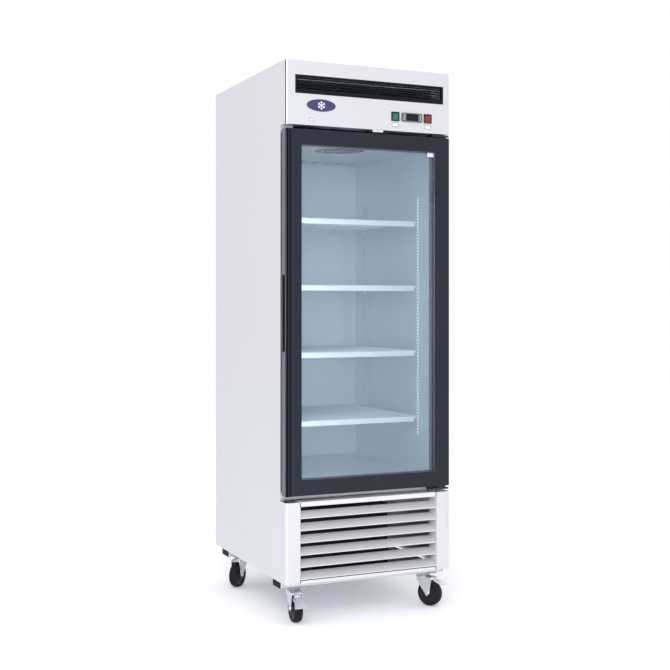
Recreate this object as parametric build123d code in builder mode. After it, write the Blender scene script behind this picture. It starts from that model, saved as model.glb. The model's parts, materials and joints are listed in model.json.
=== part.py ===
from build123d import *
from math import cos, radians, sin
import os

os.makedirs("parts", exist_ok=True)

# One-door glass reach-in refrigerator on casters. Millimetres, +Z up, floor at z = 0,
# the door faces -Y, and the origin is on the floor under the middle of the cabinet.

# Overall cabinet
WIDTH = 686.0
DEPTH = 800.0
TOP_Z = 2073.0
BASE_Z = 153.0
HALF = WIDTH / 2
FRONT = -DEPTH / 2
BACK = DEPTH / 2
BODY_FRONT = FRONT + 54.0
SHEET = 1.2
FLANGE = 15.0
WALL = 50.0
GAP = 0.2
FRONT_CORNER_R = 10.0

# Heights of the front's three zones
LOWER_TOP = BASE_Z + 300.0
DOOR_BOTTOM = LOWER_TOP + 23.0
DOOR_TOP = BASE_Z + 1670.0
HEADER_BOTTOM = DOOR_TOP + 15.0

# Insulated storage box
BOX_BOTTOM = LOWER_TOP + 4.0
FLOOR_Z = BASE_Z + 363.0
CEILING_Z = BASE_Z + 1636.0
LINER = 1.0
LINER_HALF = HALF - WALL
LINER_BACK = BACK - 51.0
LINER_TOP = TOP_Z - 59.0

# Door
DOOR_THICK = 35.0
DOOR_CORNER_R = 5.0
OPENING_HALF = 279.0
OPENING_BOTTOM = BASE_Z + 381.0
OPENING_TOP = BASE_Z + 1613.0
GLASS_GRIP = 9.5
GLASS_THICK = 4.0
GLASS_FRONT = FRONT + 13.0
PANE_GAP = 8.0
SPACER_WIDTH = 10.0
COLLAR_WALL = 10.0
COLLAR_DEEP = 14.0
GLASS_BACK = GLASS_FRONT + 2 * GLASS_THICK + PANE_GAP
DOOR_BACK = FRONT + DOOR_THICK
GASKET_WIDTH = 22.0
GASKET_LEFT = -HALF + 2.0
GASKET_RIGHT = HALF - 8.0
GASKET_BACK = BODY_FRONT - 2.0
GRIP_BOTTOM = BASE_Z + 852.0
GRIP_TOP = BASE_Z + 1134.0
GRIP_DEEP = 22.0
GRIP_FRONT = FRONT + 7.0
GRIP_BACK = DOOR_BACK - 5.0
GRIP_WALL = 1.5

# Door hinges: two pins on one line near the right front corner
PIN_X = HALF - 16.0
PIN_Y = FRONT + 17.0
PIN_R = 5.0
PIN_LONG = 22.0
RUNNING_FIT = 0.05
BUSH_R = 8.0
BUSH_LONG = 24.0
HINGE_PLATE = 6.0
HINGE_LEFT = HALF - 73.0
HINGE_RIGHT = HALF - 2.0
HINGE_FRONT = FRONT + 4.0
HINGE_BACK = BODY_FRONT - GAP
HINGE_FOOT = 4.0
LOWER_HINGE_TOP = DOOR_BOTTOM - 8.0
UPPER_HINGE_BOTTOM = DOOR_TOP + 5.0

# Header controls
VENT_LEFT = -304.5
VENT_RIGHT = 314.0
VENT_BOTTOM = BASE_Z + 1800.0
VENT_TOP = BASE_Z + 1868.0
VENT_BORDER = 6.0
VENT_BAND = 15.0
VENT_SLATS = 5
CONTROL_Z = BASE_Z + 1740.0
HEADER_TAB_X = 33.0
HEADER_TAB_WIDE = 44.0
HEADER_TAB_DROP = 9.0
REVEAL_WIDE = 4.5
REVEAL_DEEP = 7.0
SWITCH_WIDE = 34.3
SWITCH_HIGH = 35.4
LIGHT_SWITCH_X = 106.2
POWER_SWITCH_X = 245.7
ROCKER_WIDE = 22.0
ROCKER_HIGH = 26.0
ROCKER_TILT = 7.0
CONTROLLER_X = 176.2
CONTROLLER_WIDE = 87.0
CONTROLLER_HIGH = 33.6
DISPLAY_WIDE = 51.0
DISPLAY_HIGH = 26.0
BUTTON_WIDE = 7.0
BUTTON_HIGH = 5.0
BUTTON_PITCH = 8.6
BUTTON_COLUMN = 34.6
BADGE_X = -201.0
BADGE_Z = BASE_Z + 1760.0
BADGE_WIDE = 116.0
BADGE_HIGH = 45.0

# Louvred lower panel
POST_WIDE = 58.0
LOUVRE_COUNT = 6
LOUVRE_PITCH = 44.8
LOUVRE_RISE = 21.0
LOUVRE_DEEP = 42.0
LOUVRE_FIRST = BASE_Z + 16.5
TOP_RAIL = 17.0

# Shelves
SHELF_ZS = [BASE_Z + z for z in (576.0, 837.0, 1095.0, 1351.0)]
SHELF_HALF = 282.0
SHELF_FRONT = FRONT + 149.0
SHELF_BACK = LINER_BACK - 20.0
RIM_R = 3.5
WIRE_R = 1.75
WIRE_COUNT = 39
LIP_DROP = 16.5
LIP_THICK = 3.0
LIP_SHORT = 14.0
STANDARD_YS = (FRONT + 165.0, LINER_BACK - 110.0)
STANDARD_WIDE = 16.0
STANDARD_THICK = 5.0
STANDARD_BOTTOM = BASE_Z + 506.0
STANDARD_TOP = BASE_Z + 1452.0
CLIP_GAP = 0.3

# Refrigeration
COND_LEFT = -215.0
COND_RIGHT = 105.0
COND_FRONT = FRONT + 60.0
COND_BACK = COND_FRONT + 80.0
COND_BOTTOM = BASE_Z + 2.2
COND_TOP = BASE_Z + 262.0
COND_FAN_R = 100.0
COND_FAN_Y = COND_BACK + 52.0
EVAP_LEFT = -240.0
EVAP_RIGHT = 160.0
EVAP_FRONT = 60.0
EVAP_BACK = LINER_BACK - 20.0
EVAP_BOTTOM = CEILING_Z + SHEET + GAP
EVAP_TOP = LINER_TOP - 20.0
EVAP_FAN_R = 92.0
EVAP_FAN_Y = -120.0
EVAP_FAN_Z = CEILING_Z + 32.0
TUBE_R = 4.75
FIN = 0.8
SHAFT_R = 4.0
COMPRESSOR = (190.0, 80.0)
COMPRESSOR_R = 75.0
COMPRESSOR_TOP = BASE_Z + 190.0
COMPRESSOR_DOME_R = 38.0
FOOT_HALF_LONG = 90.0
FOOT_HALF_WIDE = 60.0
FOOT_BOTTOM = BASE_Z + 17.0
FOOT_TOP = BASE_Z + 20.0
RUBBER_FOOT_R = 10.0
RUBBER_FOOT_HIGH = 15.0
TERMINAL_BOX = (104.0, 68.0, 30.0, 60.0, 120.0)
PAN_LOW = (-160.0, 220.0, BASE_Z + 3.0)
PAN_HIGH = (110.0, 370.0, BASE_Z + 45.0)
PAN_WALL = 2.0
PIPE_R = 5.0
PIPE_BEND = 15.0
PIPE_BORE_R = 6.0

# Base and casters
TUBE_WIDE = 72.0
TUBE_HIGH = 23.0
TUBE_WALL = 2.5
TUBE_CORNER_R = 3.0
TUBE_YS = (FRONT + 91.5, FRONT + 678.5)
CAP_THICK = 3.0
WHEEL_R = 50.0
WHEEL_WIDE = 32.0
TRAIL = 30.0
AXLE_R = 5.0
PLATE_Z = BASE_Z - TUBE_HIGH
PLATE_THICK = 4.0
FORK_TOP = 114.0
FORK_DISC_R = 28.0
FORK_SHEET = 3.0
FORK_INNER = 18.5
KINGPIN_R = 6.0
PEDAL_PIVOT = (42.0, 107.0)
PEDAL_LONG = 72.0
PEDAL_DOWN = -33.9
PEDAL_UP = -13.9
PEDAL_PIN_R = 3.0

# name: swivel x, swivel y, direction of the trail from +X in degrees
CASTERS = {
    "front_left": (-276.0, TUBE_YS[0], -95.0),
    "front_right": (278.0, TUBE_YS[0], -62.0),
    "rear_left": (-273.0, TUBE_YS[1], -138.0),
    "rear_right": (273.0, TUBE_YS[1], -60.0),
}
# brake pedals: the left one is pressed down, the right one is released
PEDALS = {"front_left": PEDAL_DOWN, "front_right": PEDAL_UP}


def block(low, high, mode=Mode.ADD):
    """Add or cut a box between two opposite corners of the sub-part being built."""
    size = [b - a for a, b in zip(low, high)]
    with Locations(tuple((a + b) / 2 for a, b in zip(low, high))):
        Box(*size, mode=mode)


def rod(start, end, radius, mode=Mode.ADD):
    """Add or cut a round bar between two points."""
    axis = Vector(end) - Vector(start)
    with Locations(Plane(origin=start, z_dir=axis.normalized())):
        Cylinder(radius, axis.length, align=(Align.CENTER, Align.CENTER, Align.MIN), mode=mode)


def pipe(points, radius, mode=Mode.ADD):
    """Sweep a round section along straight runs joined by bends."""
    with BuildLine(mode=Mode.PRIVATE) as route:
        FilletPolyline(*points, radius=PIPE_BEND)
    with BuildSketch(Plane(origin=points[0], z_dir=route.line % 0), mode=Mode.PRIVATE) as section:
        Circle(radius)
    sweep(section.sketch, path=route.line, mode=mode)


def front_plane(y):
    """Plane facing the door side: local x is +X, local y is +Z."""
    return Plane(origin=(0, y, 0), x_dir=(1, 0, 0), z_dir=(0, -1, 0))


def save(sub_part, name):
    """Label a finished sub-part and write its STEP file."""
    sub_part.part.label = name
    export_step(sub_part.part, f"parts/{name}.step")


# ---------------------------------------------------------------- cabinet skins

with BuildPart() as side_panels:
    block((-HALF, BODY_FRONT, BASE_Z), (-HALF + SHEET, BACK - SHEET, TOP_Z - SHEET))
    block((-HALF, BODY_FRONT, BASE_Z), (-HALF + FLANGE, BODY_FRONT + SHEET, TOP_Z - SHEET))
    block((-HALF, BACK - 2 * SHEET, BASE_Z), (-HALF + FLANGE, BACK - SHEET, TOP_Z - SHEET))
    mirror(about=Plane.YZ)
save(side_panels, "side_panels")

with BuildPart() as top_panel:
    block((-HALF, BODY_FRONT, TOP_Z - SHEET), (HALF, BACK, TOP_Z))
save(top_panel, "top_panel")

REAR_SLOT_COUNT = 7
REAR_SLOT_PITCH = 28.0

with BuildPart() as rear_panels:
    block((-HALF, BACK - SHEET, LOWER_TOP + 1), (HALF, BACK, TOP_Z - SHEET))
    block((-HALF, BACK - SHEET, BASE_Z), (HALF, BACK, LOWER_TOP))
    with BuildSketch(front_plane(BACK - SHEET)):
        with Locations((0, (BASE_Z + LOWER_TOP) / 2)):
            with GridLocations(WIDTH / 3, REAR_SLOT_PITCH, 2, REAR_SLOT_COUNT):
                SlotOverall(180, 9)
    extrude(amount=-SHEET, mode=Mode.SUBTRACT)
save(rear_panels, "rear_panels")

# ---------------------------------------------------------------- refrigerant route

PIPE_X = COMPRESSOR[0]
RISER_Y = LINER_BACK + 24.0
PIPE_LOW_Z = BASE_Z + 137.0
PIPE_HIGH_Z = COND_TOP - 25.0
EVAP_PIPE = (EVAP_BACK - 29.0, LINER_TOP - 114.0)
DISCHARGE_ROUTE = [
    (PIPE_X, COMPRESSOR[1] - COMPRESSOR_R - GAP, PIPE_LOW_Z),
    (PIPE_X, COND_BACK + 110, PIPE_LOW_Z),
    (PIPE_X, COND_BACK + 110, PIPE_HIGH_Z),
    (PIPE_X, COND_FRONT + 40, PIPE_HIGH_Z),
    (COND_RIGHT + GAP, COND_FRONT + 40, PIPE_HIGH_Z),
]
RISER_ROUTE = [
    (PIPE_X, COMPRESSOR[1] + COMPRESSOR_R + GAP, PIPE_LOW_Z),
    (PIPE_X, RISER_Y, PIPE_LOW_Z),
    (PIPE_X, RISER_Y, EVAP_PIPE[1]),
    (PIPE_X, EVAP_PIPE[0], EVAP_PIPE[1]),
    (EVAP_RIGHT + GAP, EVAP_PIPE[0], EVAP_PIPE[1]),
]

with BuildPart() as refrigerant_pipes:
    pipe(DISCHARGE_ROUTE, PIPE_R)
    pipe(RISER_ROUTE, PIPE_R)
    rod((PIPE_X, RISER_Y - 110, PIPE_LOW_Z), (PIPE_X, RISER_Y - 30, PIPE_LOW_Z), 2.4 * PIPE_R)
save(refrigerant_pipes, "refrigerant_pipes")

# ---------------------------------------------------------------- insulated box

FOAM_FRONT = BODY_FRONT + SHEET + GAP
FOAM_BACK = BACK - 2 * SHEET - GAP
FOAM_TOP = TOP_Z - SHEET - GAP

with BuildPart() as insulation_panels:
    block((-HALF + SHEET + GAP, FOAM_FRONT, BOX_BOTTOM), (-LINER_HALF - GAP, FOAM_BACK, FOAM_TOP))
    mirror(about=Plane.YZ)
    block((-LINER_HALF, FOAM_FRONT, BOX_BOTTOM), (LINER_HALF, FOAM_BACK, FLOOR_Z - LINER - GAP))
    block((-LINER_HALF, FOAM_FRONT, LINER_TOP), (LINER_HALF, FOAM_BACK, FOAM_TOP))
    block((-LINER_HALF, LINER_BACK, FLOOR_Z - LINER), (LINER_HALF, FOAM_BACK, LINER_TOP - GAP))
    pipe(RISER_ROUTE, PIPE_BORE_R, Mode.SUBTRACT)
save(insulation_panels, "insulation_panels")

INNER_HALF = LINER_HALF - LINER
INNER_BACK = LINER_BACK - GAP - LINER
FLANGE_EDGE = HALF - FLANGE - GAP

with BuildPart() as interior_liner:
    block((-FLANGE_EDGE, BODY_FRONT, BOX_BOTTOM), (FLANGE_EDGE, BODY_FRONT + SHEET, FOAM_TOP))
    block(
        (-LINER_HALF, BODY_FRONT + SHEET, FLOOR_Z - LINER),
        (LINER_HALF, LINER_BACK - GAP, LINER_TOP - GAP),
    )
    block(
        (-INNER_HALF, BODY_FRONT, FLOOR_Z),
        (INNER_HALF, INNER_BACK, LINER_TOP - GAP - LINER),
        Mode.SUBTRACT,
    )
    pipe(RISER_ROUTE, PIPE_BORE_R, Mode.SUBTRACT)
save(interior_liner, "interior_liner")

GUARD_RINGS = 5
GUARD_HOLE_R = EVAP_FAN_R + 6.0
RETURN_SLOTS = 9

with BuildPart() as evaporator_cover:
    block(
        (-INNER_HALF + GAP, BODY_FRONT + 2, CEILING_Z),
        (INNER_HALF - GAP, INNER_BACK - GAP, CEILING_Z + SHEET),
    )
    with BuildSketch(Plane.XY.offset(CEILING_Z)):
        with Locations((0, EVAP_FAN_Y)):
            Circle(GUARD_HOLE_R)
            for ring in range(1, GUARD_RINGS + 1):
                ring_r = GUARD_HOLE_R * ring / (GUARD_RINGS + 1)
                Circle(ring_r + 2, mode=Mode.SUBTRACT)
                Circle(ring_r)
            with PolarLocations(0, 4):
                Rectangle(2 * GUARD_HOLE_R, 4, mode=Mode.SUBTRACT)
        with Locations((0, LINER_BACK - 90)):
            with GridLocations(56, 0, RETURN_SLOTS, 1):
                SlotOverall(90, 14, rotation=90)
    extrude(amount=SHEET, mode=Mode.SUBTRACT)
save(evaporator_cover, "evaporator_cover")


def finned_coil(left, right, front, back, bottom, top, fins, rows, columns):
    """Fins across x, threaded by straight tubes, between two end plates."""
    pitch = (right - left - 2 * FIN) / (fins - 1)
    with Locations(((left + right) / 2, (front + back) / 2, (bottom + top) / 2)):
        with GridLocations(pitch, 0, fins, 1):
            Box(FIN, back - front, top - bottom)
    row_pitch = (top - bottom) / rows
    column_pitch = (back - front) / columns
    for row in range(rows):
        for column in range(columns):
            y = front + column_pitch * (column + 0.5)
            z = bottom + row_pitch * (row + 0.5)
            rod((left, y, z), (right, y, z), TUBE_R)


with BuildPart() as evaporator_coil:
    finned_coil(EVAP_LEFT, EVAP_RIGHT, EVAP_FRONT, EVAP_BACK, EVAP_BOTTOM, EVAP_TOP, 21, 4, 5)
save(evaporator_coil, "evaporator_coil")

COND_MID = ((COND_LEFT + COND_RIGHT) / 2, (COND_BOTTOM + COND_TOP) / 2)
SHROUD_DEEP = 55.0

with BuildPart() as condenser_coil:
    finned_coil(COND_LEFT, COND_RIGHT, COND_FRONT, COND_BACK, COND_BOTTOM, COND_TOP, 27, 6, 2)
    block((COND_LEFT, COND_BACK - 1, COND_BOTTOM), (COND_RIGHT, COND_BACK + SHROUD_DEEP, COND_TOP))
    block(
        (COND_LEFT + SHEET, COND_BACK - 1, COND_BOTTOM + SHEET),
        (COND_RIGHT - SHEET, COND_BACK + SHROUD_DEEP - SHEET, COND_TOP - SHEET),
        Mode.SUBTRACT,
    )
    with BuildSketch(front_plane(COND_BACK + SHROUD_DEEP)):
        with Locations(COND_MID):
            Circle(COND_FAN_R + 6)
    extrude(amount=SHEET, mode=Mode.SUBTRACT)
save(condenser_coil, "condenser_coil")


def fan(plane, radius, blades):
    """A hub with pitched flat blades, turning about the plane's normal."""
    with BuildPart(plane) as turning:
        Cylinder(radius * 0.24, 22)
        with PolarLocations(radius * 0.58, blades):
            Box(radius * 0.84, radius * 0.5, 1.5, rotation=(24, 0, 0))
        Cylinder(radius, 40, mode=Mode.INTERSECT)
        Cylinder(SHAFT_R + RUNNING_FIT, 22, mode=Mode.SUBTRACT)
    return turning


COND_FAN_AT = Plane(origin=(COND_MID[0], COND_FAN_Y, COND_MID[1]), x_dir=(1, 0, 0), z_dir=(0, 1, 0))
EVAP_FAN_AT = Plane(origin=(0, EVAP_FAN_Y, EVAP_FAN_Z))
save(fan(COND_FAN_AT, COND_FAN_R, 5), "condenser_fan")
save(fan(EVAP_FAN_AT, EVAP_FAN_R, 5), "evaporator_fan")

MOTOR_R = 36.0
MOTOR_LONG = 52.0
MOTOR_START = 42.0
BAR = 3.0
BAR_WIDE = 22.0

with BuildPart() as fan_motors:
    fan_places = ((COND_FAN_AT, 130.0, COND_BACK + SHROUD_DEEP - COND_FAN_Y),
                  (EVAP_FAN_AT, 125.0, CEILING_Z + SHEET - EVAP_FAN_Z))
    for place, reach, foot in fan_places:
        bar_low = MOTOR_START + MOTOR_LONG
        with Locations(place.location):
            with Locations((0, 0, MOTOR_START)):
                Cylinder(MOTOR_R, MOTOR_LONG, align=(Align.CENTER, Align.CENTER, Align.MIN))
            with Locations((0, 0, -9)):
                Cylinder(SHAFT_R, MOTOR_START + 10, align=(Align.CENTER, Align.CENTER, Align.MIN))
            with Locations((0, 0, bar_low + BAR / 2)):
                Box(2 * reach, BAR_WIDE, BAR)
            with Locations((0, 0, (foot + GAP + bar_low + BAR) / 2)):
                with GridLocations(2 * reach - BAR, 0, 2, 1):
                    Box(BAR, BAR_WIDE, bar_low + BAR - foot - GAP)
save(fan_motors, "fan_motors")

with BuildPart() as compressor:
    compressor_x, compressor_y = COMPRESSOR
    with BuildSketch(Plane.XY.offset(FOOT_TOP)):
        with Locations(COMPRESSOR):
            Circle(COMPRESSOR_R)
    extrude(amount=COMPRESSOR_TOP - FOOT_TOP)
    fillet(compressor.edges().filter_by(GeomType.CIRCLE).sort_by(Axis.Z)[-1], COMPRESSOR_DOME_R)
    block(
        (compressor_x - FOOT_HALF_LONG, compressor_y - FOOT_HALF_WIDE, FOOT_BOTTOM),
        (compressor_x + FOOT_HALF_LONG, compressor_y + FOOT_HALF_WIDE, FOOT_TOP),
    )
    with Locations((compressor_x, compressor_y, FOOT_BOTTOM + 0.1 - RUBBER_FOOT_HIGH / 2)):
        with GridLocations(2 * FOOT_HALF_LONG - 24, 2 * FOOT_HALF_WIDE - 24, 2, 2):
            Cylinder(RUBBER_FOOT_R, RUBBER_FOOT_HIGH)
    box_out, box_in, box_half, box_low, box_high = TERMINAL_BOX
    block(
        (compressor_x - box_out, compressor_y - box_half, BASE_Z + box_low),
        (compressor_x - box_in, compressor_y + box_half, BASE_Z + box_high),
    )
save(compressor, "compressor")

with BuildPart() as condensate_pan:
    block(PAN_LOW, PAN_HIGH)
    block(
        tuple(low + PAN_WALL for low in PAN_LOW),
        (PAN_HIGH[0] - PAN_WALL, PAN_HIGH[1] - PAN_WALL, PAN_HIGH[2]),
        Mode.SUBTRACT,
    )
save(condensate_pan, "condensate_pan")

# ---------------------------------------------------------------- header

BEZEL_HOLE = (SWITCH_WIDE - 5, SWITCH_HIGH - 3)
CONTROLLER_HOLE = (CONTROLLER_WIDE - 9, CONTROLLER_HIGH - 4)
SWITCH_XS = (LIGHT_SWITCH_X, POWER_SWITCH_X)

with BuildPart() as header_panel:
    for inset, mode in ((0, Mode.ADD), (SHEET, Mode.SUBTRACT)):
        with BuildSketch(Plane.XY.offset(HEADER_BOTTOM + inset)) as outline:
            with Locations((0, (FRONT + inset + BODY_FRONT - GAP) / 2)):
                Rectangle(WIDTH - 2 * inset, BODY_FRONT - GAP - FRONT - inset)
            fillet(outline.vertices().group_by(Axis.Y)[0], FRONT_CORNER_R - inset)
        extrude(amount=TOP_Z - HEADER_BOTTOM - 2 * inset, mode=mode)
    with BuildSketch(front_plane(FRONT)):
        with Locations(((VENT_LEFT + VENT_RIGHT) / 2, (VENT_BOTTOM + VENT_TOP) / 2)):
            Rectangle(VENT_RIGHT - VENT_LEFT - 4, VENT_TOP - VENT_BOTTOM - 4)
        for switch_x in SWITCH_XS:
            with Locations((switch_x, CONTROL_Z)):
                Rectangle(*BEZEL_HOLE)
        with Locations((CONTROLLER_X, CONTROL_Z)):
            Rectangle(*CONTROLLER_HOLE)
    extrude(amount=-SHEET, mode=Mode.SUBTRACT)
    for corner_x in (-HALF, HALF - REVEAL_WIDE):
        block(
            (corner_x, FRONT, HEADER_BOTTOM + SHEET),
            (corner_x + REVEAL_WIDE, FRONT + REVEAL_DEEP, TOP_Z - SHEET),
            Mode.SUBTRACT,
        )
    block(
        (HEADER_TAB_X - HEADER_TAB_WIDE / 2, FRONT + SHEET, HEADER_BOTTOM - HEADER_TAB_DROP),
        (HEADER_TAB_X + HEADER_TAB_WIDE / 2, FRONT + 2 * SHEET, HEADER_BOTTOM + SHEET),
    )
save(header_panel, "header_panel")

VENT_LIP = 1.2
VENT_DEEP = 14.0
SLAT_ZONE = VENT_TOP - VENT_BOTTOM - VENT_BORDER - VENT_BAND
SLAT_PITCH = SLAT_ZONE / VENT_SLATS

with BuildPart() as header_grille:
    block((VENT_LEFT, FRONT - VENT_LIP, VENT_BOTTOM), (VENT_RIGHT, FRONT, VENT_TOP))
    block(
        (VENT_LEFT + 2.2, FRONT, VENT_BOTTOM + 2.2),
        (VENT_RIGHT - 2.2, FRONT + VENT_DEEP, VENT_TOP - 2.2),
    )
    block(
        (VENT_LEFT + VENT_BORDER, FRONT - VENT_LIP, VENT_BOTTOM + VENT_BAND),
        (VENT_RIGHT - VENT_BORDER, FRONT + VENT_DEEP, VENT_TOP - VENT_BORDER),
        Mode.SUBTRACT,
    )
    with BuildSketch(Plane.YZ.offset(VENT_LEFT + 3)):
        for slat in range(VENT_SLATS):
            slat_z = VENT_BOTTOM + VENT_BAND + SLAT_PITCH * slat
            Polygon(
                (FRONT + 1, slat_z - 1),
                (FRONT + 1, slat_z + 1.6),
                (FRONT + VENT_DEEP - 2, slat_z + 7.4),
                (FRONT + VENT_DEEP - 2, slat_z + 4.8),
                align=None,
            )
    extrude(amount=VENT_RIGHT - VENT_LEFT - 6)
save(header_grille, "header_grille")

BADGE_THICK = 1.6
RELIEF = 0.6
SNOW_ARM = 15.0

with BuildPart() as badge:
    with BuildSketch(front_plane(FRONT - GAP)):
        with Locations((BADGE_X, BADGE_Z)):
            Ellipse(BADGE_WIDE / 2, BADGE_HIGH / 2)
    extrude(amount=BADGE_THICK)
    with BuildSketch(front_plane(FRONT - GAP - BADGE_THICK)):
        with Locations((BADGE_X, BADGE_Z)):
            Circle(3)
            with PolarLocations(0, 6, start_angle=30):
                Rectangle(SNOW_ARM, 2.2, align=(Align.MIN, Align.CENTER))
            with PolarLocations(SNOW_ARM * 0.62, 6, start_angle=30):
                Rectangle(6, 1.8, rotation=50, align=(Align.MIN, Align.CENTER))
                Rectangle(6, 1.8, rotation=-50, align=(Align.MIN, Align.CENTER))
    extrude(amount=RELIEF)
save(badge, "badge")

BEZEL_LIP = 2.6
BEZEL_DEEP = 20.0
WINDOW = (ROCKER_WIDE + 1.0, ROCKER_HIGH + 3.4)

with BuildPart() as switch_bezels:
    for switch_x in SWITCH_XS:
        with BuildSketch(front_plane(FRONT - BEZEL_LIP)):
            with Locations((switch_x, CONTROL_Z)):
                RectangleRounded(SWITCH_WIDE, SWITCH_HIGH, 2.5)
        extrude(amount=-BEZEL_LIP)
        with BuildSketch(front_plane(FRONT)):
            with Locations((switch_x, CONTROL_Z)):
                Rectangle(BEZEL_HOLE[0] - 2 * GAP, BEZEL_HOLE[1] - 2 * GAP)
        extrude(amount=-BEZEL_DEEP)
        with BuildSketch(front_plane(FRONT - BEZEL_LIP)):
            with Locations((switch_x, CONTROL_Z)):
                Rectangle(*WINDOW)
        extrude(amount=-BEZEL_LIP - BEZEL_DEEP + 2, mode=Mode.SUBTRACT)
save(switch_bezels, "switch_bezels")

ROCKER_Y = FRONT + 6.0

for rocker_name, rocker_x in (("lighting_rocker", LIGHT_SWITCH_X), ("power_rocker", POWER_SWITCH_X)):
    with BuildPart() as rocker:
        with BuildSketch(Plane.YZ.offset(rocker_x - ROCKER_WIDE / 2)):
            with Locations(Location((ROCKER_Y, CONTROL_Z), ROCKER_TILT)):
                Polygon(
                    (-10.5, -ROCKER_HIGH / 2),
                    (-8.5, 0),
                    (-10.5, ROCKER_HIGH / 2),
                    (-4, ROCKER_HIGH / 2),
                    (7, 5),
                    (7, -5),
                    (-4, -ROCKER_HIGH / 2),
                    align=None,
                )
        extrude(amount=ROCKER_WIDE)
    save(rocker, rocker_name)

CONTROLLER_LIP = 7.0
CONTROLLER_DEEP = 46.0
BUTTON_OUT = 1.0
BUTTON_SINK = 3.0
DISPLAY_SINK = 1.2
BUTTON_PLACES = [
    (CONTROLLER_X + side * BUTTON_COLUMN, CONTROL_Z + row * BUTTON_PITCH)
    for side in (-1, 1)
    for row in (1, 0, -1)
]

with BuildPart() as controller_body:
    with BuildSketch(front_plane(FRONT - CONTROLLER_LIP)):
        with Locations((CONTROLLER_X, CONTROL_Z)):
            RectangleRounded(CONTROLLER_WIDE, CONTROLLER_HIGH, 5)
    extrude(amount=-CONTROLLER_LIP)
    fillet(controller_body.faces().sort_by(Axis.Y)[0].edges(), 1.5)
    with BuildSketch(front_plane(FRONT)):
        with Locations((CONTROLLER_X, CONTROL_Z)):
            Rectangle(CONTROLLER_HOLE[0] - 2 * GAP, CONTROLLER_HOLE[1] - 2 * GAP)
    extrude(amount=-CONTROLLER_DEEP)
    with BuildSketch(front_plane(FRONT - CONTROLLER_LIP)):
        with Locations((CONTROLLER_X, CONTROL_Z)):
            Rectangle(DISPLAY_WIDE, DISPLAY_HIGH)
    extrude(amount=-DISPLAY_SINK, mode=Mode.SUBTRACT)
    with BuildSketch(front_plane(FRONT - CONTROLLER_LIP)):
        with Locations(*BUTTON_PLACES):
            Rectangle(BUTTON_WIDE + 2 * GAP, BUTTON_HIGH + 2 * GAP)
    extrude(amount=-BUTTON_SINK, mode=Mode.SUBTRACT)
save(controller_body, "controller_body")

with BuildPart() as controller_display:
    with BuildSketch(front_plane(FRONT - CONTROLLER_LIP)):
        with Locations((CONTROLLER_X, CONTROL_Z)):
            Rectangle(DISPLAY_WIDE - 2 * GAP, DISPLAY_HIGH - 2 * GAP)
    extrude(amount=-DISPLAY_SINK)
save(controller_display, "controller_display")

for number, place in enumerate(BUTTON_PLACES, start=1):
    with BuildPart() as button:
        with BuildSketch(front_plane(FRONT - CONTROLLER_LIP - BUTTON_OUT)):
            with Locations(place):
                Rectangle(BUTTON_WIDE, BUTTON_HIGH)
        extrude(amount=-BUTTON_OUT - BUTTON_SINK + 1.2)
        fillet(button.faces().sort_by(Axis.Y)[0].edges(), 0.5)
    save(button, f"controller_button_{number}")

# ---------------------------------------------------------------- lower front

with BuildPart() as corner_posts:
    for inset, mode in ((0, Mode.ADD), (SHEET, Mode.SUBTRACT)):
        with BuildSketch(Plane.XY.offset(BASE_Z)) as outline:
            with Locations((-HALF + POST_WIDE / 2, (FRONT + inset + BODY_FRONT - GAP) / 2)):
                Rectangle(POST_WIDE - 2 * inset, BODY_FRONT - GAP - FRONT - inset)
            fillet(outline.vertices().group_by(Axis.Y)[0].sort_by(Axis.X)[0], FRONT_CORNER_R - inset)
        extrude(amount=LOWER_TOP - BASE_Z, mode=mode)
    mirror(about=Plane.YZ)
save(corner_posts, "corner_posts")

PANEL_HALF = HALF - POST_WIDE - 1.0
PANEL_FRONT = FRONT + 1.0
BLADE_LIP = 3.0
SILL_TOP = LOUVRE_FIRST - 5.0
NOTCH_WIDE = 3.0
NOTCH_DEEP = 10.0

with BuildPart() as louvre_panel:
    block((-PANEL_HALF, PANEL_FRONT, LOWER_TOP - TOP_RAIL), (PANEL_HALF, PANEL_FRONT + SHEET, LOWER_TOP))
    block((-PANEL_HALF, PANEL_FRONT, LOWER_TOP - SHEET), (PANEL_HALF, BODY_FRONT - GAP, LOWER_TOP))
    block((-PANEL_HALF, PANEL_FRONT, BASE_Z), (PANEL_HALF, PANEL_FRONT + SHEET, SILL_TOP))
    block((-PANEL_HALF, PANEL_FRONT, BASE_Z), (PANEL_HALF, BODY_FRONT - GAP, BASE_Z + SHEET))
    for edge in (-PANEL_HALF, PANEL_HALF - SHEET):
        block((edge, PANEL_FRONT, BASE_Z), (edge + SHEET, BODY_FRONT - GAP, LOWER_TOP))
    with BuildSketch(Plane.YZ.offset(-PANEL_HALF + SHEET / 2)):
        for blade in range(LOUVRE_COUNT):
            blade_z = LOUVRE_FIRST + LOUVRE_PITCH * blade
            Polygon(
                (PANEL_FRONT, blade_z),
                (PANEL_FRONT, blade_z + SHEET),
                (PANEL_FRONT + LOUVRE_DEEP, blade_z + LOUVRE_RISE),
                (PANEL_FRONT + LOUVRE_DEEP + SHEET, blade_z + LOUVRE_RISE - 1.0),
                (PANEL_FRONT + SHEET, blade_z - BLADE_LIP + SHEET),
                (PANEL_FRONT, blade_z - BLADE_LIP + SHEET),
                align=None,
            )
    extrude(amount=2 * PANEL_HALF - SHEET)
    for notch_x in (-PANEL_HALF, PANEL_HALF - NOTCH_WIDE):
        for low, high in ((BASE_Z, SILL_TOP), (LOWER_TOP - TOP_RAIL, LOWER_TOP)):
            block(
                (notch_x, PANEL_FRONT, low),
                (notch_x + NOTCH_WIDE, PANEL_FRONT + NOTCH_DEEP, high),
                Mode.SUBTRACT,
            )
save(louvre_panel, "louvre_panel")

# ---------------------------------------------------------------- base

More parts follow.
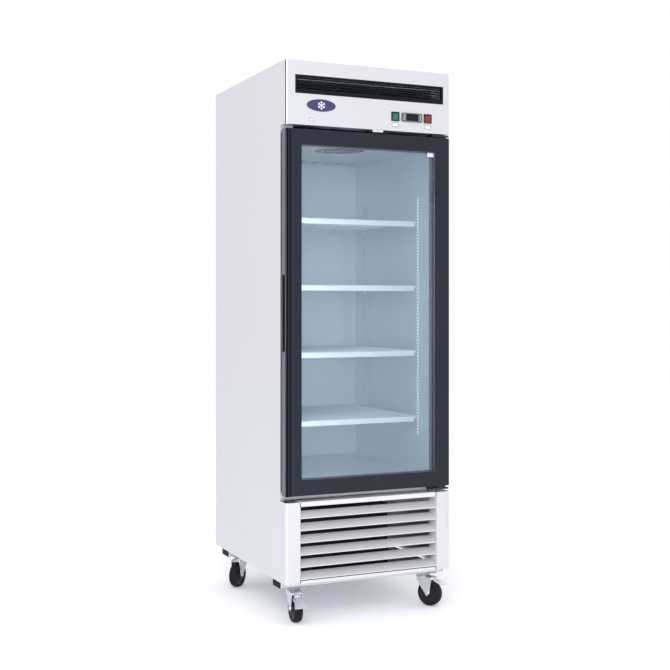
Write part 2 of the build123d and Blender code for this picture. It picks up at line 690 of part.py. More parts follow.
with BuildPart() as crossmembers:
    with BuildSketch(Plane.YZ.offset(-HALF + CAP_THICK)):
        for tube_y in TUBE_YS:
            with Locations((tube_y, BASE_Z - TUBE_HIGH / 2)):
                RectangleRounded(TUBE_WIDE, TUBE_HIGH, TUBE_CORNER_R)
                RectangleRounded(
                    TUBE_WIDE - 2 * TUBE_WALL,
                    TUBE_HIGH - 2 * TUBE_WALL,
                    TUBE_CORNER_R / 3,
                    mode=Mode.SUBTRACT,
                )
    extrude(amount=WIDTH - 2 * CAP_THICK)
save(crossmembers, "crossmembers")

GLAND_AT = (-HALF + 70.0, BASE_Z + 60.0)

with BuildPart() as end_caps_and_gland:
    for cap_x in (-HALF, HALF - CAP_THICK):
        with BuildSketch(Plane.YZ.offset(cap_x)):
            with Locations(*[(tube_y, BASE_Z - TUBE_HIGH / 2) for tube_y in TUBE_YS]):
                RectangleRounded(TUBE_WIDE, TUBE_HIGH, TUBE_CORNER_R)
        extrude(amount=CAP_THICK)
    with BuildSketch(front_plane(BACK + GAP)):
        with Locations(GLAND_AT):
            Circle(11)
            Circle(5, mode=Mode.SUBTRACT)
    extrude(amount=-3)
save(end_caps_and_gland, "end_caps_and_gland")

DECK_HALF = HALF - FLANGE - 1.0

with BuildPart() as machine_deck:
    block((-DECK_HALF, BODY_FRONT + GAP, BASE_Z), (DECK_HALF, FOAM_BACK, BASE_Z + 2.0))
save(machine_deck, "machine_deck")

# ---------------------------------------------------------------- door hinges

with BuildPart() as hinge_plates:
    lower_low = LOWER_HINGE_TOP - HINGE_PLATE
    block((HINGE_LEFT, HINGE_FRONT, lower_low), (HINGE_RIGHT, HINGE_BACK, LOWER_HINGE_TOP))
    block((HINGE_LEFT, HINGE_BACK - HINGE_FOOT, LOWER_TOP + 1), (HINGE_RIGHT, HINGE_BACK, LOWER_HINGE_TOP))
    upper_high = UPPER_HINGE_BOTTOM + HINGE_PLATE
    block((HINGE_LEFT, HINGE_FRONT, UPPER_HINGE_BOTTOM), (HINGE_RIGHT, HINGE_BACK, upper_high))
    block(
        (HINGE_LEFT, HINGE_BACK - HINGE_FOOT, UPPER_HINGE_BOTTOM),
        (HINGE_RIGHT, HINGE_BACK, HEADER_BOTTOM - GAP),
    )
    rod((PIN_X, PIN_Y, lower_low), (PIN_X, PIN_Y, LOWER_HINGE_TOP + PIN_LONG), PIN_R)
    rod((PIN_X, PIN_Y, upper_high), (PIN_X, PIN_Y, UPPER_HINGE_BOTTOM - PIN_LONG), PIN_R)
save(hinge_plates, "hinge_plates")

with BuildPart() as hinge_bushes:
    for bush_low, flange_low in ((DOOR_BOTTOM, DOOR_BOTTOM - 2), (DOOR_TOP - BUSH_LONG, DOOR_TOP)):
        rod((PIN_X, PIN_Y, bush_low), (PIN_X, PIN_Y, bush_low + BUSH_LONG), BUSH_R)
        rod((PIN_X, PIN_Y, flange_low), (PIN_X, PIN_Y, flange_low + 2), BUSH_R + 3)
    rod((PIN_X, PIN_Y, DOOR_BOTTOM - 5), (PIN_X, PIN_Y, DOOR_TOP + 5), PIN_R + RUNNING_FIT, Mode.SUBTRACT)
save(hinge_bushes, "hinge_bushes")

# ---------------------------------------------------------------- door

GRIP_Y = GRIP_BACK - GRIP_FRONT


def grip_shape(grow, mode):
    """The finger pull's tapered pocket in the left stile, widened all round by grow."""
    with BuildSketch(front_plane(GRIP_FRONT - grow)) as pocket:
        Polygon(
            (-HALF, GRIP_BOTTOM - grow),
            (-HALF, GRIP_TOP + grow),
            (-HALF + GRIP_DEEP + grow, GRIP_TOP - GRIP_DEEP),
            (-HALF + GRIP_DEEP + grow, GRIP_BOTTOM + GRIP_DEEP),
            align=None,
        )
    extrude(pocket.sketch, amount=-GRIP_Y - 2 * grow, mode=mode)


with BuildPart() as door_frame:
    for side in (-1, 1):
        with BuildSketch(Plane.XY.offset(DOOR_BOTTOM)) as stile:
            with Locations((side * (HALF + OPENING_HALF) / 2, (FRONT + DOOR_BACK) / 2)):
                Rectangle(HALF - OPENING_HALF, DOOR_THICK)
            front_corners = stile.vertices().group_by(Axis.Y)[0].sort_by(Axis.X)
            fillet(front_corners[0 if side < 0 else -1], DOOR_CORNER_R)
        extrude(amount=DOOR_TOP - DOOR_BOTTOM)
    block((-OPENING_HALF, FRONT, DOOR_BOTTOM), (OPENING_HALF, DOOR_BACK, OPENING_BOTTOM))
    block((-OPENING_HALF, FRONT, OPENING_TOP), (OPENING_HALF, DOOR_BACK, DOOR_TOP))
    block(
        (-OPENING_HALF - COLLAR_WALL, DOOR_BACK, OPENING_BOTTOM - COLLAR_WALL),
        (OPENING_HALF + COLLAR_WALL, DOOR_BACK + COLLAR_DEEP, OPENING_TOP + COLLAR_WALL),
    )
    block(
        (-OPENING_HALF, DOOR_BACK, OPENING_BOTTOM),
        (OPENING_HALF, DOOR_BACK + COLLAR_DEEP, OPENING_TOP),
        Mode.SUBTRACT,
    )
    block(
        (-OPENING_HALF - GLASS_GRIP - GAP, GLASS_FRONT - GAP, OPENING_BOTTOM - GLASS_GRIP - GAP),
        (OPENING_HALF + GLASS_GRIP + GAP, GLASS_BACK + GAP, OPENING_TOP + GLASS_GRIP + GAP),
        Mode.SUBTRACT,
    )
    grip_shape(GRIP_WALL, Mode.SUBTRACT)
    for bore_low in (DOOR_BOTTOM, DOOR_TOP - BUSH_LONG):
        rod((PIN_X, PIN_Y, bore_low), (PIN_X, PIN_Y, bore_low + BUSH_LONG), BUSH_R, Mode.SUBTRACT)
save(door_frame, "door_frame")

with BuildPart() as handle_grip:
    grip_shape(GRIP_WALL, Mode.ADD)
    grip_shape(0, Mode.SUBTRACT)
save(handle_grip, "handle_grip")

PANE_HALF = OPENING_HALF + GLASS_GRIP
PANE_LOW = OPENING_BOTTOM - GLASS_GRIP
PANE_HIGH = OPENING_TOP + GLASS_GRIP

with BuildPart() as door_glass:
    for pane_y in (GLASS_FRONT, GLASS_BACK - GLASS_THICK):
        block((-PANE_HALF, pane_y, PANE_LOW), (PANE_HALF, pane_y + GLASS_THICK, PANE_HIGH))
save(door_glass, "door_glass")

with BuildPart() as glass_spacer:
    spacer_front = GLASS_FRONT + GLASS_THICK
    spacer_back = spacer_front + PANE_GAP
    block((-PANE_HALF, spacer_front, PANE_LOW), (PANE_HALF, spacer_back, PANE_HIGH))
    block(
        (-PANE_HALF + SPACER_WIDTH, spacer_front, PANE_LOW + SPACER_WIDTH),
        (PANE_HALF - SPACER_WIDTH, spacer_back, PANE_HIGH - SPACER_WIDTH),
        Mode.SUBTRACT,
    )
save(glass_spacer, "glass_spacer")

GASKET_LOW = DOOR_BOTTOM + 14.0
GASKET_HIGH = DOOR_TOP - 14.0

with BuildPart() as door_gasket:
    block((GASKET_LEFT, DOOR_BACK, GASKET_LOW), (GASKET_RIGHT, GASKET_BACK, GASKET_HIGH))
    block(
        (GASKET_LEFT + GASKET_WIDTH, DOOR_BACK, GASKET_LOW + GASKET_WIDTH),
        (GASKET_RIGHT - GASKET_WIDTH, GASKET_BACK, GASKET_HIGH - GASKET_WIDTH),
        Mode.SUBTRACT,
    )
save(door_gasket, "door_gasket")

# ---------------------------------------------------------------- interior fittings

STANDARD_OUT = INNER_HALF - GAP

with BuildPart() as shelf_standards:
    for standard_y in STANDARD_YS:
        for side in (-1, 1):
            outer, inner = side * STANDARD_OUT, side * (STANDARD_OUT - STANDARD_THICK)
            block(
                (min(outer, inner), standard_y - STANDARD_WIDE / 2, STANDARD_BOTTOM),
                (max(outer, inner), standard_y + STANDARD_WIDE / 2, STANDARD_TOP),
            )
save(shelf_standards, "shelf_standards")

CLIP_OUT = STANDARD_OUT - STANDARD_THICK
CLIP_REACH = 10.0
CLIP_WIDE = 12.0

with BuildPart() as shelf_clips:
    for shelf_z in SHELF_ZS:
        clip_top = shelf_z - RIM_R - CLIP_GAP
        for standard_y in STANDARD_YS:
            block(
                (-CLIP_OUT, standard_y - CLIP_WIDE / 2, clip_top - 2.5),
                (-CLIP_OUT + CLIP_REACH, standard_y + CLIP_WIDE / 2, clip_top),
            )
            block(
                (-CLIP_OUT, standard_y - CLIP_WIDE / 2, clip_top - 18),
                (-CLIP_OUT + 2, standard_y + CLIP_WIDE / 2, clip_top),
            )
    mirror(about=Plane.YZ)
save(shelf_clips, "shelf_clips")

CROSS_BARS = 3
WIRE_PITCH = 2 * (SHELF_HALF - 2 * RIM_R - 2) / (WIRE_COUNT - 1)
DECK_TOP = RIM_R + 2 * WIRE_R - 0.5

with BuildPart() as lowest_shelf:
    rim_z = SHELF_ZS[0]
    deck_z = rim_z + DECK_TOP - WIRE_R
    shelf_middle = (SHELF_FRONT + SHELF_BACK) / 2
    shelf_long = SHELF_BACK - SHELF_FRONT
    with Locations((0, shelf_middle, rim_z)):
        Box(2 * SHELF_HALF, shelf_long, 2 * RIM_R)
        Box(2 * SHELF_HALF - 4 * RIM_R, shelf_long - 4 * RIM_R, 2 * RIM_R, mode=Mode.SUBTRACT)
        with GridLocations(0, shelf_long / (CROSS_BARS + 1), 1, CROSS_BARS):
            Box(2 * SHELF_HALF - 3 * RIM_R, 2 * RIM_R, 2 * RIM_R)
    block(
        (-SHELF_HALF + LIP_SHORT, SHELF_FRONT, rim_z - LIP_DROP),
        (SHELF_HALF - LIP_SHORT, SHELF_FRONT + LIP_THICK, rim_z + RIM_R),
    )
    with Locations((0, shelf_middle, deck_z)):
        with GridLocations(WIRE_PITCH, 0, WIRE_COUNT, 1):
            Box(2 * WIRE_R, shelf_long - 2, 2 * WIRE_R)

for number, shelf_z in enumerate(SHELF_ZS, start=1):
    with BuildPart() as shelf:
        add(lowest_shelf.part.moved(Location((0, 0, shelf_z - SHELF_ZS[0]))))
    save(shelf, f"shelf_{number}")

LIGHT_WIDE = 25.0
LIGHT_THICK = 9.0
LIGHT_Y = BODY_FRONT + 12.0
LIGHT_BOTTOM = FLOOR_Z + 45.0
LIGHT_TOP = CEILING_Z - 45.0
LIGHT_WALL = -INNER_HALF + GAP

with BuildPart() as light_housing:
    block((LIGHT_WALL, LIGHT_Y, LIGHT_BOTTOM), (LIGHT_WALL + LIGHT_THICK, LIGHT_Y + LIGHT_WIDE, LIGHT_TOP))
    block(
        (LIGHT_WALL + 2, LIGHT_Y + 2, LIGHT_BOTTOM + 2),
        (LIGHT_WALL + LIGHT_THICK, LIGHT_Y + LIGHT_WIDE - 2, LIGHT_TOP - 2),
        Mode.SUBTRACT,
    )
save(light_housing, "light_housing")

with BuildPart() as light_lens:
    block(
        (LIGHT_WALL + 2 + GAP, LIGHT_Y + 2 + GAP, LIGHT_BOTTOM + 2 + GAP),
        (LIGHT_WALL + LIGHT_THICK + 3, LIGHT_Y + LIGHT_WIDE - 2 - GAP, LIGHT_TOP - 2 - GAP),
    )
    fillet(light_lens.faces().sort_by(Axis.X)[-1].edges().filter_by(Axis.Z), 3)
save(light_lens, "light_lens")

# ---------------------------------------------------------------- casters


def upright_plane(x, y, angle):
    """Vertical plane through a swivel axis: local x is the trail, local y is +Z."""
    trail = Vector(cos(radians(angle)), sin(radians(angle)), 0)
    return Plane(origin=(x, y, 0), x_dir=trail, z_dir=trail.cross(Vector(0, 0, 1)))


def across(upright, centre, radius, half, mode=Mode.ADD):
    """A round bar across a caster, centred on the wheel's middle plane."""
    with BuildSketch(upright.offset(-half)) as section:
        with Locations(centre):
            Circle(radius)
    extrude(section.sketch, amount=2 * half, mode=mode)


AXLE = (TRAIL, WHEEL_R)
FORK_OUTER = FORK_INNER + FORK_SHEET
LEG_OUTLINE = [(-18, FORK_TOP - 2), (48, FORK_TOP - 2), (48, 98), (41, 50), (30, 39), (19, 50), (-18, 98)]

for caster, (swivel_x, swivel_y, trail_angle) in CASTERS.items():
    upright = upright_plane(swivel_x, swivel_y, trail_angle)
    with BuildPart() as fork:
        for leg_from in (-FORK_OUTER, FORK_INNER):
            with BuildSketch(upright.offset(leg_from)):
                Polygon(*LEG_OUTLINE, align=None)
            extrude(amount=FORK_SHEET)
        rod((swivel_x, swivel_y, FORK_TOP - 4), (swivel_x, swivel_y, FORK_TOP), FORK_DISC_R)
        across(upright, AXLE, AXLE_R, FORK_OUTER)
        for head_from in (-FORK_OUTER - 3.5, FORK_OUTER):
            with BuildSketch(upright.offset(head_from)):
                with Locations(AXLE):
                    RegularPolygon(8, 6)
            extrude(amount=3.5)
        if caster in PEDALS:
            across(upright, PEDAL_PIVOT, PEDAL_PIN_R, FORK_OUTER)
        rod(
            (swivel_x, swivel_y, FORK_TOP - 5),
            (swivel_x, swivel_y, FORK_TOP + 1),
            KINGPIN_R + RUNNING_FIT,
            Mode.SUBTRACT,
        )
    save(fork, f"caster_fork_{caster}")

    with BuildPart() as wheel:
        across(upright, AXLE, WHEEL_R, WHEEL_WIDE / 2)
        fillet(wheel.edges().filter_by(GeomType.CIRCLE), 6)
        for face_from in (-WHEEL_WIDE / 2, WHEEL_WIDE / 2 - 4):
            with BuildSketch(upright.offset(face_from)):
                with Locations(AXLE):
                    Circle(36)
                    Circle(14, mode=Mode.SUBTRACT)
            extrude(amount=4, mode=Mode.SUBTRACT)
        across(upright, AXLE, AXLE_R + RUNNING_FIT, WHEEL_WIDE, Mode.SUBTRACT)
    save(wheel, f"caster_wheel_{caster}")

PEDAL_BARREL_R = 5.5
PEDAL_SHEET = 3.0
# half of the pedal's outline: distance from the pivot, half width
TREAD_HALF = [(0.0, 13.0), (19.0, 13.0), (21.0, 20.0), (34.0, 20.0), (40.0, 17.0), (PEDAL_LONG, 24.0)]
TREAD_HOLE = (28.0, 13.0)
TREAD_HOLE_R = 3.5
PEDAL_STOP = (9.0, 20.0, 8.0)

for caster, pedal_angle in PEDALS.items():
    swivel_x, swivel_y, trail_angle = CASTERS[caster]
    upright = upright_plane(swivel_x, swivel_y, trail_angle)
    slope = radians(pedal_angle)
    arm_x = (upright.x_dir * cos(slope) + upright.y_dir * sin(slope)).normalized()
    arm_up = upright.z_dir.cross(arm_x)
    pivot = upright.from_local_coords(Vector(PEDAL_PIVOT[0], PEDAL_PIVOT[1], 0))
    tread = Plane(origin=pivot - arm_up * (PEDAL_SHEET / 2), x_dir=arm_x, z_dir=arm_up)
    with BuildPart() as pedal:
        across(upright, PEDAL_PIVOT, PEDAL_BARREL_R, FORK_INNER - 1)
        with BuildSketch(tread) as outline:
            Polygon(*TREAD_HALF, *[(x, -y) for x, y in reversed(TREAD_HALF)], align=None)
            fillet(outline.vertices().group_by(Axis(pivot, arm_x))[-1], 6)
            with Locations((TREAD_HOLE[0], TREAD_HOLE[1]), (TREAD_HOLE[0], -TREAD_HOLE[1])):
                Circle(TREAD_HOLE_R, mode=Mode.SUBTRACT)
        extrude(amount=PEDAL_SHEET)
        with BuildSketch(tread):
            with Locations((PEDAL_BARREL_R + 4, 0)):
                Rectangle(*PEDAL_STOP[:2])
        extrude(amount=PEDAL_STOP[2])
        across(upright, PEDAL_PIVOT, PEDAL_PIN_R + RUNNING_FIT, FORK_INNER, Mode.SUBTRACT)
    save(pedal, f"brake_pedal_{caster}")

PLATE_LONG = 88.0
PLATE_WIDE = 68.0
RACE_R = 25.0
BOLT_GRID = (70.0, 50.0)

with BuildPart() as caster_plates:
    for swivel_x, swivel_y, trail_angle in CASTERS.values():
        with BuildSketch(Plane.XY.offset(PLATE_Z - PLATE_THICK)):
            with Locations((swivel_x, swivel_y)):
                RectangleRounded(PLATE_LONG, PLATE_WIDE, 6)
        extrude(amount=PLATE_THICK)
        swivel_top = PLATE_Z - PLATE_THICK
        rod((swivel_x, swivel_y, FORK_TOP + 0.6), (swivel_x, swivel_y, swivel_top), RACE_R)
        rod((swivel_x, swivel_y, FORK_TOP - 9), (swivel_x, swivel_y, swivel_top), KINGPIN_R)
        rod((swivel_x, swivel_y, FORK_TOP - 9), (swivel_x, swivel_y, FORK_TOP - 4.6), 9)
save(caster_plates, "caster_plates")

# ---------------------------------------------------------------- fasteners

HEADER_SCREW_ZS = (BASE_Z + 1700.0, BASE_Z + 1836.0)
HEADER_SCREW_Y = BODY_FRONT - 8.0
HINGE_SCREW_XS = (HINGE_LEFT + 12.0, HINGE_LEFT + 34.0)
HEAD_R = 4.0
HEAD_HIGH = 1.4

with BuildPart() as fasteners:
    for swivel_x, swivel_y, trail_angle in CASTERS.values():
        with BuildSketch(Plane.XY.offset(PLATE_Z - PLATE_THICK - 4)):
            with Locations((swivel_x, swivel_y)):
                with GridLocations(*BOLT_GRID, 2, 2):
                    RegularPolygon(6, 6)
        extrude(amount=4)
    for screw_z in HEADER_SCREW_ZS:
        for side in (-1, 1):
            rod(
                (side * HALF, HEADER_SCREW_Y, screw_z),
                (side * (HALF + HEAD_HIGH), HEADER_SCREW_Y, screw_z),
                HEAD_R,
            )
    for screw_x in HINGE_SCREW_XS:
        screw_top = HINGE_BACK - HINGE_FOOT
        rod((screw_x, screw_top, LOWER_TOP + 5), (screw_x, screw_top - 2, LOWER_TOP + 5), 3)
save(fasteners, "fasteners")
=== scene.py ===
"""One-door glass reach-in refrigerator on casters: its looks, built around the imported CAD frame."""

import json
from math import radians

import bpy
import numpy as np
from bpy.props import FloatProperty, FloatVectorProperty, IntProperty, PointerProperty
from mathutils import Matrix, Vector


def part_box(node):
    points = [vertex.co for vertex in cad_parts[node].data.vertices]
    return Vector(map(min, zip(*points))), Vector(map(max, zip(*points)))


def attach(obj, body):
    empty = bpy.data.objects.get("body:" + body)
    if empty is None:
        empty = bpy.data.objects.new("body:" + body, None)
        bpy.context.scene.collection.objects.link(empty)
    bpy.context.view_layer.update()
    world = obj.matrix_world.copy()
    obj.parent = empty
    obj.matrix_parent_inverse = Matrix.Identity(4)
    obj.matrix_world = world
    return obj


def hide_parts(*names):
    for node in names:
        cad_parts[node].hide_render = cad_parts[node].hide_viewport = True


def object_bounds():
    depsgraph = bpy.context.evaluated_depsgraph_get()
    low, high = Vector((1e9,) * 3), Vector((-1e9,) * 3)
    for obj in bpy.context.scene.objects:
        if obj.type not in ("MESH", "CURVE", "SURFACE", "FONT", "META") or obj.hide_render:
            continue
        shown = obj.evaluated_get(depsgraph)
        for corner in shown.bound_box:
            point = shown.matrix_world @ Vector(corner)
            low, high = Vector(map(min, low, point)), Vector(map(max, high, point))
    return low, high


bl_info = {
    "name": "Glass Door Reach-in Refrigerator",
    "version": (1, 0, 0),
    "blender": (4, 5, 0),
    "location": "3D View > Sidebar > Fridge",
    "description": "Builds the looks of a one-door reach-in refrigerator around its CAD frame",
    "category": "Object",
}

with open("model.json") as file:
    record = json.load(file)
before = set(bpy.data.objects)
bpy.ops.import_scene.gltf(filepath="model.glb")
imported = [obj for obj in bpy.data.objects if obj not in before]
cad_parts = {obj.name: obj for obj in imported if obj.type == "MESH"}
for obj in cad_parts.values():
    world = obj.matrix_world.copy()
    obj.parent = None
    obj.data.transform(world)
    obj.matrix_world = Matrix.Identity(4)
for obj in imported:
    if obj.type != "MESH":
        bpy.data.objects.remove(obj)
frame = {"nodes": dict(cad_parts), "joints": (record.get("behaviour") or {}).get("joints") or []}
CAD_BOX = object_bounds()
JOINTS = {joint["name"]: joint for joint in frame["joints"]}
CORNERS = ("front_left", "front_right", "rear_left", "rear_right")
BUTTONS = tuple(f"controller_button_{number}" for number in range(1, 7))
SHELVES = tuple(f"shelf_{number}" for number in range(1, 5))

MM = 0.001
FULL_TURN = 2 * np.pi
COLUMN = 220
ROW = 320

# Nodes that share a finish
SIDE_SHEETS = ("side_panels", "corner_posts")
FRONT_SHEETS = ("header_panel", "top_panel")
ZINC_SHEETS = ("rear_panels", "machine_deck")
PLATED = ("fasteners", "shelf_clips")


# ---------------------------------------------------------------- user settings


class FridgeSizes(bpy.types.PropertyGroup):
    """Sizes of the pieces that are built here."""

    rim_radius: FloatProperty(
        name="Shelf rim radius", description="Radius of the bar round a shelf",
        default=3.5 * MM, min=2 * MM, max=3.5 * MM, unit="LENGTH", precision=4)
    wire_radius: FloatProperty(
        name="Shelf wire radius", description="Radius of the wires that goods stand on",
        default=1.75 * MM, min=1 * MM, max=1.75 * MM, unit="LENGTH", precision=4)
    lip_thick: FloatProperty(
        name="Shelf lip thickness", description="Thickness of the strip along a shelf's front",
        default=3 * MM, min=1.5 * MM, max=4 * MM, unit="LENGTH", precision=4)
    wire_count: IntProperty(
        name="Wires per shelf", description="How many wires run from back to front",
        default=39, min=15, max=60)
    rim_corner: FloatProperty(
        name="Shelf corner radius", description="Bend of the rim at a shelf's corners",
        default=14 * MM, min=8 * MM, max=30 * MM, unit="LENGTH", precision=4)
    edge_round: FloatProperty(
        name="Sheet edge rounding", description="Rounding of folded and cut sheet edges",
        default=0.5 * MM, min=0.1 * MM, max=0.55 * MM, unit="LENGTH", precision=4)
    label_thick: FloatProperty(
        name="Label thickness", description="Thickness of the blank labels",
        default=0.4 * MM, min=0.1 * MM, max=0.8 * MM, unit="LENGTH", precision=4)


class FridgeColours(bpy.types.PropertyGroup):
    """Colours and light levels of the finishes."""

    skin: FloatVectorProperty(
        name="Cabinet sheet", description="Tone of the brushed cabinet sheets",
        subtype="COLOR", size=3, default=(0.66, 0.66, 0.705), min=0, max=1)
    lining: FloatVectorProperty(
        name="Box lining", description="Tone of the storage box's sheet lining",
        subtype="COLOR", size=3, default=(0.57, 0.635, 0.69), min=0, max=1)
    border: FloatVectorProperty(
        name="Door border", description="Colour of the door's front border",
        subtype="COLOR", size=3, default=(0.007, 0.009, 0.018), min=0, max=1)
    door_side: FloatVectorProperty(
        name="Door side", description="Colour of the door's sides, reveal and rear lip",
        subtype="COLOR", size=3, default=(0.085, 0.09, 0.11), min=0, max=1)
    glass: FloatVectorProperty(
        name="Glass tint", description="Tint that each pane's faces give",
        subtype="COLOR", size=3, default=(0.955, 0.978, 0.985), min=0, max=1)
    badge: FloatVectorProperty(
        name="Badge field", description="Enamel colour of the badge",
        subtype="COLOR", size=3, default=(0.020, 0.023, 0.095), min=0, max=1)
    shelf: FloatVectorProperty(
        name="Shelf coating", description="Colour of the coating on the shelf wires",
        subtype="COLOR", size=3, default=(0.74, 0.78, 0.82), min=0, max=1)
    green: FloatVectorProperty(
        name="Lighting switch", description="Colour of the lighting rocker",
        subtype="COLOR", size=3, default=(0.008, 0.11, 0.085), min=0, max=1)
    red: FloatVectorProperty(
        name="Power switch", description="Colour of the power rocker",
        subtype="COLOR", size=3, default=(0.20, 0.016, 0.022), min=0, max=1)
    tyre: FloatVectorProperty(
        name="Tyre", description="Colour of the caster tyres",
        subtype="COLOR", size=3, default=(0.008, 0.008, 0.013), min=0, max=1)
    light: FloatProperty(
        name="Box light", description="Strength of the light strip in the storage box",
        default=12.5, min=0, max=50)


# ---------------------------------------------------------------- shapes


def wall_faces(rings, sides, closed):
    """Quads between neighbouring rings of points: ring i, point j is number i * sides + j.
    A closed run also joins the last ring to the first."""
    ring = np.arange(rings if closed else rings - 1)[:, None]
    side = np.arange(sides)[None, :]
    after, beside = (ring + 1) % rings, (side + 1) % sides
    corners = (ring * sides + side, ring * sides + beside, after * sides + beside, after * sides + side)
    return np.stack(corners, -1).reshape(-1, 4)


def bar_along(path, across, radius, sides, closed=False):
    """Round bar along a flat path: each ring is the path's point plus the radius times
    (cosine of the angle times the path's own side direction, plus sine times the plane's normal)."""
    path = np.asarray(path, float)
    across = np.asarray(across, float)
    if closed:
        heading = np.roll(path, -1, 0) - np.roll(path, 1, 0)
    else:
        heading = np.gradient(path, axis=0)
    beside = np.cross(across, heading)
    beside /= np.linalg.norm(beside, axis=1, keepdims=True)
    angle = np.arange(sides) * FULL_TURN / sides
    swing = np.cos(angle)[None, :, None] * beside[:, None, :] + np.sin(angle)[None, :, None] * across
    points = path[:, None, :] + radius * swing
    faces = wall_faces(len(path), sides, closed).tolist()
    if not closed:
        first = np.arange(sides)
        faces += [first[::-1].tolist(), (first + (len(path) - 1) * sides).tolist()]
    return points.reshape(-1, 3), faces


def rounded_outline(half_wide, half_high, corner, steps):
    """Rectangle with round corners: four corner centres, each plus the corner radius times
    (cosine, sine) of an angle that runs through that corner's quarter turn."""
    quarter = np.arange(4)[:, None]
    angle = (quarter + np.linspace(0, 1, steps)[None, :]) * FULL_TURN / 4
    sign_x = np.array([1, -1, -1, 1])[:, None]
    sign_y = np.array([1, 1, -1, -1])[:, None]
    x = sign_x * (half_wide - corner) + corner * np.cos(angle)
    y = sign_y * (half_high - corner) + corner * np.sin(angle)
    return np.stack([x, y], -1).reshape(-1, 2)


def plate(centre, half_wide, half_high, corner, thick):
    """Thin plate that faces -Y: rounded outlines at the back, at the front edge, and drawn in by
    a fifth of the thickness on the face, joined by walls and closed by two flat faces."""
    rings = []
    for inset, out in ((0, 0), (0, 0.7), (0.3, 1)):
        outline = rounded_outline(half_wide - inset * thick, half_high - inset * thick, corner, 6)
        x = centre[0] + outline[:, 0]
        z = centre[2] + outline[:, 1]
        rings.append(np.stack([x, np.full_like(x, centre[1] - out * thick), z], -1))
    sides = len(rings[0])
    first = np.arange(sides)
    faces = wall_faces(len(rings), sides, False).tolist()
    faces += [first[::-1].tolist(), (first + (len(rings) - 1) * sides).tolist()]
    return np.concatenate(rings), faces


def mesh_piece(name, shapes, smooth_below, slots=None):
    """One mesh object from several (points, faces) shapes. Edges that turn more than
    smooth_below degrees stay sharp. slots gives each face its material slot."""
    points, faces, start = [], [], 0
    for shape_points, shape_faces in shapes:
        points.append(shape_points)
        faces += [[start + number for number in face] for face in shape_faces]
        start += len(shape_points)
    mesh = bpy.data.meshes.new(name)
    mesh.from_pydata(np.concatenate(points).tolist(), [], faces)
    mesh.polygons.foreach_set("use_smooth", np.ones(len(faces), bool))
    if slots is not None:
        mesh.polygons.foreach_set("material_index", np.asarray(slots, np.int32))
    mesh.set_sharp_from_angle(angle=radians(smooth_below))
    mesh.update()
    piece = bpy.data.objects.new(name, mesh)
    bpy.context.scene.collection.objects.link(piece)
    return piece


def dress(names, finish):
    """Gives CAD nodes a finish in every material slot they have."""
    for name in names:
        node = frame["nodes"][name]
        for slot in node.material_slots:
            slot.material = finish


def round_edges(names, width, segments=2):
    """Rounds the sharp edges of CAD nodes: their loose triangles are joined, then bevelled."""
    for name in names:
        node = frame["nodes"][name]
        join = node.modifiers.new("Join triangles", "WELD")
        join.merge_threshold = 0.01 * MM
        soften = node.modifiers.new("Soft edges", "BEVEL")
        soften.width = width
        soften.segments = segments
        soften.limit_method = "ANGLE"
        soften.angle_limit = radians(35)
        soften.use_clamp_overlap = True
        even = node.modifiers.new("Even shading", "WEIGHTED_NORMAL")
        even.keep_sharp = True


# ---------------------------------------------------------------- finishes


